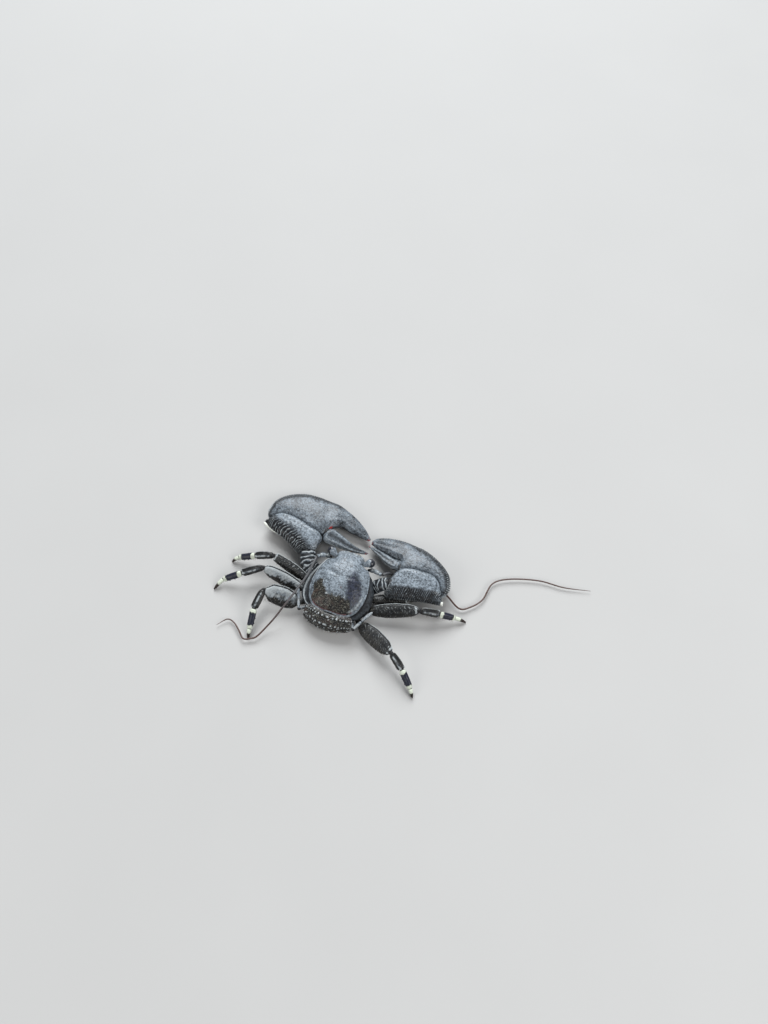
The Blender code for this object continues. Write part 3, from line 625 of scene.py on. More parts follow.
def carapace_rings():
    """Rings from the crown out to the edge, down the walls and in under the body, in
    millimetres, with the share of the way out and down for each ring."""
    half = curve([(x, y, 0) for x, y in RIM_HALF], np.linspace(0, 1, AROUND // 2 + 1))
    rim = np.vstack((half, half[-2:0:-1] * (-1, 1, 1)))
    middle = np.array((0, -0.2, 0))
    oval = unit(rim) * (CARAPACE_HALF_WIDTH, CARAPACE_REAR, 0)
    rows, out, down = [], [], []

    def ring(place, level, share_out, share_down):
        rows.append(np.column_stack((place[:, :2], level)))
        out.append(share_out)
        down.append(share_down)

    crown, edge = np.linspace(0.015, 0.88, CROWN_RINGS), np.linspace(0.888, 1.0, EDGE_RINGS)
    for share in np.concatenate((crown, edge)):
        place = middle + (oval + (rim - oval) * share ** 3 - middle) * share
        rim_level = rim_height(place[:, 1] / max(share, 0.01))
        fall = np.where(place[:, 1] > 0, share ** 2.5, share ** 2.2)
        level = rim_level + (CARAPACE_TOP - rim_level) * (1 - fall)
        level -= furrows(place[:, 0], place[:, 1]) * (1 - share ** 8)
        level += (swellings(place[:, 0], place[:, 1]) - 0.05) * (1 - share ** 6)
        ring(place, level, share, 0)
    bulge = stops((0, 0), (0.16, 0.15), (0.34, 0.75), (0.58, 1), (0.86, 0.7), (1, 0.2))
    reach = stops((0, 0), (0.58, 0), (0.86, -0.02), (1, -0.08))
    sides = stops((-6.4, 0.05), (-5, 0.65), (-3, 1), (-0.5, 0.95), (1.5, 0.55), (2.6, 0.3), (4.2, -0.45))
    top = rim_height(rim[:, 1])
    for fall in np.linspace(0, 1, WALL_RINGS)[1:]:
        stand = 1 + reach(fall) + WALL_BULGE * bulge(fall) * sides(rim[:, 1])
        ring(middle + (rim - middle) * stand[:, None], top + (CARAPACE_BELLY - top) * fall, 1, fall)
    for share in np.linspace(0.9, 0.05, INSIDE_RINGS):
        ring(middle + (rim - middle) * share, np.full(len(rim), CARAPACE_BELLY), share, 1.2)
    return np.array(rows), np.array(out)[:, None], np.array(down)[:, None]


class CRAB_OT_carapace(bpy.types.Operator):
    """Build the back shield with its regions, raised edge and side walls"""
    bl_idname = "crab.carapace"
    bl_label = "Carapace"

    def execute(self, context):
        local, out, down = carapace_rings()
        x, y = local[..., 0], local[..., 1]
        rings = HEART + local * MM
        back = (down == 0) * np.ones_like(x)
        wall = (down > 0) * (down <= 1)
        left = step(1.0, -1.0, x)
        # The dark rear ends at a ragged border, and stops short of the left edge.
        wander = lumps(rings, 1.0, 11.0) + 0.8 * lumps(rings, 0.35, 5.0)
        border = REAR_BORDER(x + 0.5 * lumps(rings, 1.2, 2.0)) - y + (0.5 + 0.5 * step(-2, -3, x)) * wander
        margin = 0.96 - 0.07 * left * step(-4.8, -3.2, y)
        blur = 1 - 0.5 * left * step(-3.6, -2.6, y)
        inside = step(margin + 0.015, margin - 0.03, out + 0.015 * wander)
        rear = step(-0.7, 0.7, border * blur) * back * inside
        # The purplish oval leans towards the right.
        from_x, from_y = x - VIOLET_AT[0], y - VIOLET_AT[1]
        along = from_x * 0.35 - from_y * 0.94
        across = from_x * 0.94 + from_y * 0.35
        away = np.sqrt((along / VIOLET_SIZE[1]) ** 2 + (across / VIOLET_SIZE[0]) ** 2)
        violet = step(1.4, 0.5, away + 0.2 * wander) * back
        # A rolled edge with a gutter inside it, and a rib and a seam down on the walls.
        edge = hump(out, 0.984, 0.016) * back
        gutter = hump(out, 0.948, 0.013) * back
        groove = left * step(-3.0, -1.0, y) * step(4.6, 3.8, y)
        undercut = hump(down, 0.1, 0.08) * wall
        rib = hump(down, 0.26 - 0.015 * y, 0.06) * wall
        seam = hump(down, 0.6 + 0.06 * np.sin(y * 0.8), 0.03) * step(-5.6, -4.5, y) * step(4.6, 3.2, y)
        shoulder = hump(out, 0.92, 0.045) * step(-1.0, -2.0, y) * step(-6.0, -5.0, y) * (x > 0)
        edge_pale = 0.3 + 0.55 * left * step(-1.5, 1.5, y) * step(4.8, 3.8, y) + 0.25 * step(-5.2, -6.0, y)
        # Grains in front of the border, short raised lines far out, and pale flecks along the border.
        grains = granules(rings, 0.3) * back * step(0.5, -0.3, border)
        plicae = saw(y * 1.5 + 0.55 * np.abs(x) + lumps(rings, 1.2, 3.0) * 0.6)
        plicae = plicae * step(4.0, 4.8, np.abs(x)) * back * (1 - step(0.9, 0.96, out))
        flecks = 0.7 * step(0.0, 0.5, lumps(rings, 0.45, 9.0)) + 0.5 * step(0.0, 0.5, lumps(rings, 0.22, 4.0))
        fringe = hump(border, -0.2, 0.3) * back * flecks * step(-3.5, -2.9, x) * step(3.0, 2.4, x)
        scar = hump(np.hypot(x - SCAR_AT[0], (y - SCAR_AT[1]) * 1.6), 0, 0.24) * back
        red = hump(out, 0.95, 0.012) * step(-4.7, -5.3, y) * back * step(-0.6, 0.1, wander)
        height = (grains * 0.028 + lumps(rings, 0.35) * 0.016 * back + edge * 0.07 - gutter * 0.04
                  - undercut * 0.16 + rib * 0.05 - seam * 0.09 + plicae * 0.03)
        # Painted sheen on the back: paler in front, half as much behind the heart, and little down the walls.
        light = (0.85 - 0.75 * wall) * (1 - 0.5 * step(0.6, 0.1, y + 3.2) * back)
        pale = (edge * edge_pale * (1 - shoulder) + rib * (0.15 + 0.6 * left) + fringe * 0.95 + shoulder * 0.5
                + plicae * 0.1)
        # Painted shade under the rolled edge (the undercut) and down the walls, deeper towards the bottom;
        # the gutter, seam and scar darken as well.
        dark = (undercut + gutter * (0.35 + 0.4 * groove) * (1 - shoulder) + seam * 0.8 + scar * 0.8
                + wall * (0.7 + 0.2 * step(0.5, 1, down)) * (1 - rib * left))
        piece("carapace_shell", raised(rings, height), finish(wet_shell, context), "back_shell", ["carapace"],
              light=light, rear=rear, violet=violet * (1 - shoulder), red=red * 0.16 + scar * 0.08,
              grain=grains * 0.5 * (1 - violet), pale=pale, dark=dark)
        return {"FINISHED"}


# Abdomen and underside

STERNUM_TOP = CARAPACE_BELLY - 0.3      # these are in millimetres too
STERNUM_THICKNESS = 0.65
STERNUM_HALF_WIDTH = 4.5
STERNUM_FRONT = 2.9
STERNUM_REAR = -5.2
ABDOMEN_THICKNESS = 0.6
ABDOMEN_HALF_WIDTH = 4.8
ABDOMEN_UNDER_TOP = STERNUM_TOP - STERNUM_THICKNESS - 0.3
TAIL_LEVEL = ABDOMEN_UNDER_TOP - ABDOMEN_THICKNESS / 2
TAIL_SIDES = 200                # places round the tail bands
BEADS = 40                      # pale beads along the rear edge of each tail segment
BACK_PATH = route((0, -6.45, 3.3), (0, -7.1, 3.3), (0, -8.0, 3.0), (0, -8.8, 2.45), (0, -9.1, 1.85))
UNDER_PATH = route((0, -8.7, 1.2), (0, -8.1, 0.88), (0, -6.4, TAIL_LEVEL), (0, -4.2, TAIL_LEVEL),
                   (0, -1.4, TAIL_LEVEL))


def tail_band(path, wide, arch, segments, steps):
    """Rings of a thin band of tail segments, each stepping down to the next, with lobed ends. With
    them come the share of the way along the segment and the share of the way out to the side."""
    t = np.linspace(0, 1, steps)
    line = curve(path, t)
    side = np.tile((1.0, 0, 0), (steps, 1))
    up = np.cross(side, unit(np.gradient(line, axis=0)))
    part = (t * segments) % 1
    lobe = np.sqrt(np.clip(1 - (2 * part - 1) ** 4, 0, 1))
    half = (wide(t) * ABDOMEN_HALF_WIDTH - 0.3 * (1 - lobe)) * MM
    thin = ABDOMEN_THICKNESS / 2
    fit = domed(t, 0.04, 0.04)
    high = ((thin - 0.12 * (1 - lobe) + 0.1 * part) * MM * fit, thin * MM * fit)
    rings = cross_sections(line, side, up, half, high, TAIL_SIDES, 2.6)
    share = (rings[..., 0] - HEART[0]) / half[:, None]
    rings[..., 1] += arch(t)[:, None] * MM * share ** 2
    return rings, part[:, None], np.abs(share)


class CRAB_OT_abdomen(bpy.types.Operator):
    """Build the tail: bands behind and under the body, and the fan laid against the breast"""
    bl_idname = "crab.abdomen"
    bl_label = "Abdomen and tail fan"

    def execute(self, context):
        pale = finish(pale_belly, context)
        self.band("abdomen_back", BACK_PATH, stops((0, 0.8), (0.3, 0.97), (0.55, 1), (1, 0.98)),
                  stops((0, 0.9), (0.4, 0.75), (1, 1.1)), 3, 130, finish(wet_shell, context), "back_shell")
        self.band("abdomen_under", UNDER_PATH, stops((0, 0.95), (0.3, 0.92), (0.7, 0.84), (1, 0.66)),
                  stops((0, 1.1), (0.3, 0.3), (1, 0)), 4, 140, pale, "under_shell")
        self.tail_fan(pale)
        return {"FINISHED"}

    def band(self, name, path, wide, arch, segments, steps, material, slot):
        """One band, with beads and blots on its outer face."""
        rings, part, side = tail_band(path, wide, arch, segments, steps)
        turn = turn_of(rings)
        outer = step(0.49, 0.53, turn)
        lip = hump(part, 0.93, 0.05)
        beads = beat(turn, BEADS) ** 2 * hump(part, 0.84, 0.13) * outer
        blots = step(0.25, 0.5, lumps(rings, 0.36, 3.0)) * outer
        grains = granules(rings, 0.3) * 0.04 + lumps(rings, 0.6) * 0.02
        rings = raised(rings, grains + lip * 0.02 + beads * 0.09)
        edge = (beads * 0.95 + blots * 0.65 + step(0.95, 1.0, side) * 0.5) * outer
        dark = hump(part, 0.02, 0.06) + hump(part, 0.99, 0.02) + 0.3 * hump(side, 0.78, 0.03)
        dark = dark + 0.25 * outer * (1 - edge) * (slot == "back_shell")
        first = step(0.33, 0.3, np.linspace(0, 1, steps))[:, None]
        piece(f"{name}_shell", rings, material, slot, [name], rear=1 - 0.35 * first, light=0.3 * first,
              dark=dark, pale=edge, grain=grains)

    def tail_fan(self, material):
        """The middle plate of the fan and the blade on either side of it."""
        thin = stops((0, 0.27), (0.5, 0.27), (1, 0.2))
        path = route((0, -1.05, TAIL_LEVEL), (0, 0.6, TAIL_LEVEL), (0, 2.1, TAIL_LEVEL))
        middle = stops((0, 1.15), (0.35, 1.6), (0.75, 1.5), (1, 0.75))
        rings, t, _ = plate(path, UP, middle, thin, 90, 120, 3, (0.05, 0.14))
        across = np.abs(rings[..., 0] - HEART[0]) / (1.6 * MM)
        lines = hump(t, 0.32 + 0.1 * across ** 2, 0.014) + hump(across, 0.42, 0.03) * step(0.3, 0.36, t)
        rings = raised(rings, lumps(rings, 0.4) * 0.015 - lines * 0.06)
        piece("telson_plates", rings, material, "under_shell", ["telson"], dark=lines, pale=step(0.9, 1, t))
        blade_width = stops((0, 0.4), (0.4, 0.85), (0.8, 0.8), (1, 0.35))
        for side, name in SIDES:
            path = [mm(side * x, y, TAIL_LEVEL) for x, y in ((2.45, -0.95), (2.85, 0.1), (2.9, 1.7))]
            rings, t, turn = plate(path, UP, blade_width, thin, 70, 80, 3, (0.06, 0.14))
            keel = near(turn, 0.75, 0.05) * hump(t, 0.45, 0.3)
            rings = raised(rings, keel * 0.08 + lumps(rings, 0.35) * 0.015)
            piece(f"uropod_{name}_blade", rings, material, "under_shell", [f"uropod_{name}"],
                  dark=hump(t, 0.22, 0.03) * 0.6, pale=step(0.86, 1, t))


class CRAB_OT_underside(bpy.types.Operator):
    """Build the breast plate and the outer mouth legs"""
    bl_idname = "crab.underside"
    bl_label = "Breast plate and mouth"

    def execute(self, context):
        pale = finish(pale_belly, context)
        self.breast(pale)
        for side, name in SIDES:
            self.mouth_leg(side, name, pale)
        return {"FINISHED"}

    def breast(self, material):
        """A broad plate with a notch and a suture at each leg, and a hollow down its middle."""
        t = np.linspace(0, 1, 160)
        thick = STERNUM_THICKNESS / 2
        half = stops((0, 0.5), (0.06, 0.66), (0.3, 0.9), (0.55, 1), (0.8, 0.93), (1, 0.72))(t)
        line = np.array([mm(0, STERNUM_FRONT + (STERNUM_REAR - STERNUM_FRONT) * v, STERNUM_TOP - thick)
                         for v in t])
        notch = np.exp(-(((t * 4.5 + 0.5) % 1 - 0.5) / 0.09) ** 2)
        wide = (half * STERNUM_HALF_WIDTH - 0.22 * notch) * MM
        fit = MM * domed(t, 0.03, 0.03)
        side, up = (np.tile(way, (len(t), 1)) for way in ((1.0, 0, 0), UP))
        rings = cross_sections(line, side, up, wide, ((thick - 0.05) * fit, thick * fit), 120, 3.2)
        across = np.abs(rings[..., 0] - HEART[0]) / MM
        under = turn_of(rings) > 0.5
        suture = notch[:, None] * step(0.9, 1.5, across) * under
        hollow = hump(across, 0, 1.1) * under
        rings = raised(rings, lumps(rings, 0.5) * 0.02 - suture * 0.16 - hollow * 0.12)
        piece("sternum_plate", rings, material, "under_shell", ["sternum"], dark=suture * 0.9,
              pale=0.2 * hump(notch[:, None], 0.4, 0.2))

    def mouth_leg(self, side, name, material):
        """A flat leg of five joints, bent forward under the mouth."""
        path = [mm(x * side, y, z) for x, y, z in ((0.95, 3.45, 1.7), (1.5, 4.3, 1.65), (1.85, 5.4, 1.7),
                                                   (1.65, 6.3, 2.0), (0.95, 6.95, 2.5))]
        wide = stops((0, 0.45), (0.15, 0.75), (0.35, 0.85), (0.55, 0.7), (0.75, 0.42), (1, 0.25))
        high = stops((0, 0.26), (0.3, 0.34), (0.6, 0.32), (1, 0.25))
        rings, t, _ = plate(path, (0, -0.4, 1), wide, high, 120, 52, round_off=(0.05, 0.06))
        joints = humps(t, (0.16, 0.44, 0.64, 0.82), 0.016)
        rings = raised(rings, lumps(rings, 0.3) * 0.02 - joints * 0.13)
        piece(f"maxilliped_{name}_leg", rings, material, "under_shell", [f"maxilliped_{name}"],
              dark=joints, pale=humps(t, (0.13, 0.41, 0.61), 0.02) * 0.6)


# Eyes

EYE_RADIUS = 0.86               # mm
COLLAR_START = 0.35             # mm that a collar starts behind the root of its stalk


def round_rings(centres, radii, across, up, sides):
    """Round rings about centres, which start their turn across and go on upwards."""
    turn = np.arange(sides) / sides * 2 * np.pi
    flat = across * np.cos(turn)[:, None] + up * np.sin(turn)[:, None]
    return centres[:, None] + flat[None] * radii[:, None, None]


class CRAB_OT_eyes(bpy.types.Operator):
    """Build the two eyes on their short stalks"""
    bl_idname = "crab.eyes"
    bl_label = "Eyes"

    def execute(self, context):
        for side, name in SIDES:
            root = mm(3.15 * side, 4.88, 4.14)
            middle = mm(3.98 * side, 5.3, 4.5)
            along = unit(middle - root)
            across = unit(np.cross(along, UP))
            up = np.cross(across, along)
            self.ball(name, middle, along, across, up, finish(cornea, context))
            self.stalk(name, root, middle, along, across, up, finish(wet_shell, context))
        return {"FINISHED"}

    def ball(self, name, middle, along, across, up, material):
        """The eye itself, from inside its collar to its outer end, with a pale cap over its upper inner side,
        partly the stalk's rim and partly a painted reflection.
        """
        radius = EYE_RADIUS * MM
        swing = np.linspace(math.radians(-42), math.radians(89), 60)
        centres = middle + along * (radius * np.sin(swing))[:, None]
        rings = round_rings(centres, radius * np.cos(swing), across, up, 96)
        # Pale over the upper inner side: partly the stalk's pale rim, partly a painted reflection.
        pale_cap_and_reflection = ((rings - middle) @ unit(up * 1.2 - along)) / radius
        piece(f"eye_{name}_cornea", rings, material, "eye", [f"eye_{name}"],
              pale=step(0.35, 0.6, pale_cap_and_reflection + 0.15 * lumps(rings, 0.4)))

    def stalk(self, name, root, middle, along, across, up, material):
        """A collar whose upper side runs out over the eye in a blunt point."""
        t = np.linspace(0, 1, 60)
        start = COLLAR_START * MM
        reach = np.linalg.norm(middle - root) - EYE_RADIUS * MM * 0.45 + start
        centres = root - along * start + along * (reach * t)[:, None]
        girth = stops((0, 0.5), (0.35, 0.58), (0.8, 0.76), (1, 0.7))(t)
        radii = girth * EYE_RADIUS * MM * domed(t, 0.05, 0.05)
        rings = round_rings(centres, radii, across, up, 72)
        lobe = near(turn_of(rings), 0.25, 0.09) * step(0.6, 1, t)[:, None]
        rings = rings + (along * 0.5 + up * 0.16) * (lobe * MM * 0.8)[..., None]
        piece(f"eyestalk_{name}_collar", raised(rings, lumps(rings, 0.2) * 0.02), material, "back_shell",
              [f"eyestalk_{name}"], pale=lobe * 0.5, dark=0.1, grain=0.4, light=0.9)


# Feelers

FEELER_RADIUS = 0.26            # mm at its root
FEELER_LENGTHS = {"left": 3, "right": 4}    # solids that a whip stands for
RUST_SPAN = 30                  # mm along a whip over which its mark for the colour grows
PEDUNCLES = {
    "left": route((-4.6, 4.5, 3.2), (-5.5, 4.15, 3.6), (-6.1, 3.55, 4.05)),
    "right": route((4.6, 4.5, 3.2), (5.45, 4.4, 3.4), (6.35, 4.15, 3.6)),
}
FEELERS = {
    "left": route(
        (-6.35, 3.1, 4.2), (-6.4, 1.6, 4.35), (-6.55, -0.7, 4.3), (-7.0, -3.0, 4.3), (-7.7, -5.8, 4.3),
        (-8.5, -8.4, 3.9), (-9.4, -10.3, 2.6), (-10.4, -12.1, 1.4), (-11.6, -14.5, 0.8),
        (-12.6, -15.3, 0.7), (-13.9, -15.75, 0.7), (-15.3, -14.6, 0.7), (-16.8, -13.5, 0.6),
        (-18.3, -13.3, 0.6), (-19.8, -15.0, 0.5)),
    "right": route(
        (6.9, 4.2, 3.6), (7.5, 4.95, 3.1), (8.5, 5.6, 1.9), (10.6, 5.5, 1.5), (14.0, 5.5, 1.5),
        (17.2, 6.0, 1.6), (19.5, 5.3, 1.3), (22.6, 3.8, 0.7), (24.6, 4.9, 0.6), (26.3, 7.1, 0.6),
        (27.2, 10.9, 0.6), (30.2, 13.0, 0.6), (35.6, 14.6, 0.55), (40.5, 14.9, 0.5), (45.5, 16.0, 0.45)),
}


class CRAB_OT_feelers(bpy.types.Operator):
    """Build the feelers: three thick joints each, and a long ringed whip"""
    bl_idname = "crab.feelers"
    bl_label = "Feelers"

    def execute(self, context):
        for name in PEDUNCLES:
            self.base(name, finish(wet_shell, context))
            self.whip(name, finish(ringed_feeler, context), context.scene.crab_sizes.annulus)
        return {"FINISHED"}

    def base(self, name, material):
        """Three joints in a row, with a short spine on two of them."""
        bead = stops((0, 0.4), (0.16, 0.46), (0.33, 0.42), (0.36, 0.38), (0.5, 0.42), (0.66, 0.36),
                     (0.69, 0.32), (0.82, 0.34), (1, 0.28))
        path = PEDUNCLES[name]
        path = (path[0] - (path[1] - path[0]) * 0.4, *path, path[2] + (path[2] - path[1]) * 0.35)
        rings, t, turn = plate(path, UP, bead, bead, 150, 56, round_off=(0.04, 0.08))
        joints = humps(t, (0.35, 0.68), 0.02)
        spine = near(turn, 0.25, 0.06) * humps(t, (0.3, 0.62), 0.03)
        rings = raised(rings, lumps(rings, 0.22) * 0.03 - joints * 0.08 + spine * 0.12)
        piece(f"antenna_{name}_joints", rings, material, "back_shell", [f"antenna_{name}_base"],
              dark=joints * 0.7, pale=spine + near(turn, 0.25, 0.12) * 0.5, grain=0.2, light=0.8)

    def whip(self, name, material, annulus):
        """A long tapering whip of rings, five places to a ring."""
        points = FEELERS[name]
        rough = curve(points, np.linspace(0, 1, 400))
        length = np.linalg.norm(np.diff(rough, axis=0), axis=1).sum()
        annuli = round(length / annulus)
        t = np.linspace(0, 1, annuli * 5 + 1)
        line = curve(points, t)
        ahead = unit(np.gradient(line, axis=0))
        side = unit(np.cross(ahead, UP))
        ring = (t * annuli) % 1
        swell = 0.95 + 0.07 * np.sin(np.pi * ring)
        radius = stops((0, 1.0), (0.35, 0.72), (0.9, 0.5), (1, 0.15))(t) * FEELER_RADIUS * MM * swell
        radius = radius * np.maximum(domed(t, 0.004, 0), 0.6)
        rings = cross_sections(line, side, np.cross(side, ahead), radius, (radius, radius), 14, 2)
        piece(f"antenna_{name}_whip", rings, material, "feeler",
              [f"antenna_{name}_whip_{n + 1}" for n in range(FEELER_LENGTHS[name])],
              dark=0.7 * humps(ring, (0, 1), 0.14)[:, None], out=(t * length / (RUST_SPAN * MM))[:, None])


# Claws. Edges come in pairs of matching lines. A ring's turn starts at the second one and goes over
# the top.

CLAWS = {
    "left": SimpleNamespace(
        arm=route((-4.9, 1.3, 1.85), (-6.3, 1.4, 1.95), (-7.7, 2.15, 2.35), (-8.45, 3.7, 2.6)),
        arm_half_width=1.65,
        wrist=(                 # towards the palm, then towards the rear, from the body out to the tooth
            route((-7.5, 4.95, 2.8), (-7.15, 7.2, 2.9), (-8.2, 8.35, 3.0), (-10.3, 8.85, 3.0),
                  (-12.6, 9.55, 2.9), (-15.4, 9.9, 2.7), (-17.1, 9.55, 2.5), (-18.3, 8.35, 2.4),
                  (-19.2, 7.7, 2.4)),
            route((-9.95, 3.5, 2.5), (-10.4, 3.35, 2.45), (-10.95, 3.5, 2.4), (-12.0, 4.1, 2.3),
                  (-13.4, 4.95, 2.2), (-15.4, 5.7, 2.2), (-17.2, 6.2, 2.2), (-18.5, 6.75, 2.2),
                  (-19.45, 7.25, 2.3))),
        # Here as in the rest, top and belly are the reach in mm over and under the line between the edges.
        wrist_top=stops((0, 0.75), (0.15, 1.2), (0.5, 1.45), (0.8, 1.15), (0.93, 0.6), (1, 0.22)),
        wrist_belly=stops((0, 0.6), (0.2, 1.2), (0.7, 1.15), (0.93, 0.6), (1, 0.22)),
        palm=(                  # towards the body, then the rim, from the outer end to the fixed finger's tip
            route((-18.95, 8.35, 2.1), (-18.25, 9.2, 2.2), (-17.2, 9.95, 2.3), (-15.5, 10.25, 2.4),
                  (-12.6, 9.9, 2.55), (-10.3, 9.2, 2.6), (-8.3, 8.75, 2.55), (-7.3, 8.65, 2.45),
                  (-6.35, 10.5, 2.2), (-4.7, 11.7, 1.8), (-2.5, 11.15, 1.7), (-0.3, 11.0, 1.5),
                  (1.55, 10.85, 1.3)),
            route((-19.4, 8.8, 2.0), (-19.7, 10.4, 1.85), (-19.3, 12.2, 1.65), (-18.05, 13.95, 1.5),
                  (-15.95, 15.4, 1.4), (-13.4, 16.2, 1.35), (-10.9, 16.4, 1.3), (-8.95, 16.3, 1.3),
                  (-6.9, 16.15, 1.3), (-4.75, 15.5, 1.25), (-2.2, 14.35, 1.25), (0.15, 12.8, 1.2),
                  (1.7, 11.3, 1.2))),
        palm_belly=stops((0, 0.3), (0.08, 0.85), (0.25, 1.45), (0.5, 2.0), (0.7, 1.6), (0.85, 1.0), (1, 0.4)),
        finger=(                # towards the body, then towards the fixed finger, from the hinge to the tip
            route((-7.05, 8.25, 2.5), (-6.5, 7.25, 2.4), (-3.9, 7.2, 2.0), (-1.0, 7.3, 1.6),
                  (2.1, 7.95, 1.3)),
            route((-6.2, 10.05, 2.5), (-5.3, 10.3, 2.3), (-3.0, 9.55, 2.0), (-0.7, 8.75, 1.7),
                  (2.3, 8.35, 1.3))),
        lines=24,               # raised lines across the wrist's rear flank
        lines_reach=2.5,        # mm that they cover from the rear edge
        lines_fade=0.8,         # mm over which they fade out
        lines_end=(0.93, 0.8),  # shares of the way: none past the first, full up to the second
        lines_bend=1.6,         # how far they bend towards the body, in lines
        lines_wave=0.6,         # how far they wander, in lines
        lines_pale=0.72,        # how pale their tops are
        root_pale=0.0,          # how much paler next to the body
        tooth_places=4,         # places of the wrist's rear edge that its white tooth spans
        tooth_shift=(0, -0.12, 0.2),    # mm that the tooth stands off that edge
        tooth_size=1.0,         # factor on the tooth's thickness
        crease=0.12,            # mm that the edges beside the crease stand out
        finger_growth=0.0,      # mm that the finger fills of the gap in front of it
        finger_tuck=0.3,        # mm that the finger's root reaches back into the palm
        rim_teeth=66,           # teeth in each row along the rim
        gape_rounding=5,        # rings over which the shape is rounded where the fingers part
        gape_red=1.0,           # how red the spot is where the fingers part
        tip_red=0.75,           # how red the fixed finger's tip is
        end_pale=0.6,           # how pale the rim is at the outer end
    ),
    "right": SimpleNamespace(
        arm=route((4.9, 1.3, 1.85), (5.9, 1.5, 1.85), (6.8, 2.3, 2.55), (7.4, 2.7, 3.0)),
        arm_half_width=1.3,
        wrist=(
            route((8.6, 4.0, 3.7), (9.0, 5.2, 3.7), (10.15, 6.45, 3.6), (11.8, 7.0, 3.6), (13.7, 7.1, 3.6),
                  (15.6, 7.1, 3.5), (17.0, 6.45, 3.4), (17.95, 5.0, 3.3), (18.7, 3.45, 3.2),
                  (19.3, 2.85, 3.1)),
            route((8.35, 2.0, 3.3), (8.4, 0.8, 3.1), (9.3, 0.45, 3.0), (10.6, 0.7, 2.9), (12.2, 1.15, 2.9),
                  (13.9, 1.55, 2.9), (15.6, 1.85, 2.9), (17.2, 2.1, 2.9), (18.5, 2.3, 2.9),
                  (19.4, 2.5, 3.0))),
        wrist_top=stops((0, 0.75), (0.15, 1.15), (0.5, 1.4), (0.8, 1.1), (0.93, 0.6), (1, 0.22)),
        wrist_belly=stops((0, 0.55), (0.2, 1.0), (0.7, 1.0), (0.93, 0.6), (1, 0.22)),
        palm=(
            route((18.95, 3.9, 3.0), (18.35, 5.3, 3.05), (17.35, 6.75, 3.1), (15.8, 7.4, 3.1),
                  (13.7, 7.45, 3.1), (11.75, 7.25, 3.1), (10.2, 6.75, 3.0), (9.35, 6.35, 2.9),
                  (9.35, 8.2, 2.5), (7.4, 8.75, 2.1), (5.7, 9.25, 1.8), (3.6, 9.9, 1.5), (2.25, 10.35, 1.25)),
            route((19.4, 4.25, 2.85), (19.75, 6.1, 2.65), (19.2, 7.8, 2.4), (18.2, 9.15, 2.15),
                  (16.7, 10.45, 1.95), (14.8, 11.55, 1.75), (12.8, 12.35, 1.6), (11.0, 12.7, 1.5),
                  (8.95, 12.95, 1.4), (7.05, 12.9, 1.35), (5.05, 12.6, 1.3), (3.1, 12.0, 1.2),
                  (2.2, 11.1, 1.2))),
        palm_belly=stops((0, 0.3), (0.08, 0.55), (0.25, 1.0), (0.5, 1.5), (0.7, 1.85), (0.85, 1.1), (1, 0.4)),
        finger=(
            route((8.8, 6.2, 2.9), (7.75, 6.4, 2.6), (6.2, 7.05, 2.2), (4.3, 8.3, 1.7), (1.9, 9.75, 1.2)),
            route((8.85, 7.75, 2.7), (7.7, 8.1, 2.4), (5.9, 8.7, 2.0), (4.2, 9.2, 1.6), (2.0, 9.95, 1.2))),
        lines=40,
        lines_reach=2.3,
        lines_fade=0.4,
        lines_end=(1.2, 1.1),
        lines_bend=0.7,
        lines_wave=0.45,
        lines_pale=0.5,
        root_pale=0.4,
        tooth_places=2,
        tooth_shift=(0.12, 0.12, 0.32),
        tooth_size=1.3,
        crease=0.14,
        finger_growth=0.35,
        finger_tuck=0.5,
        rim_teeth=54,
        gape_rounding=16,
        gape_red=0.0,
        tip_red=0.4,
        end_pale=0.2,
    ),
}
PALM_TOP = stops((0, 0.3), (0.08, 0.8), (0.2, 1.2), (0.42, 1.4), (0.62, 1.15), (0.8, 0.85), (1, 0.35))
FINGER_TOP = stops((0, 0.7), (0.2, 0.95), (0.6, 0.75), (1, 0.2))
FINGER_BELLY = stops((0, 0.6), (0.2, 0.85), (0.6, 0.65), (1, 0.2))
RIM_ROWS = ((0.1, 0.0, 1.0), (0.48, 0.5, 0.9), (0.86, 0.0, 0.55))   # mm in from the rim, shift and size
GAPE = 0.6                      # share of the palm's length at which the fingers part
ARM_LINES = 9                   # raised lines across the upper face of the arm
WRIST_BEADS, PALM_BEADS = 30, 56        # beads along either side of the crease
PALM_CUSPS, FINGER_CUSPS = 48, 22       # small bumps on the fingers' biting edges


def root_of(edges):
    """Middle between the first places of two edges."""
    return (edges[0][0] + edges[1][0]) / 2


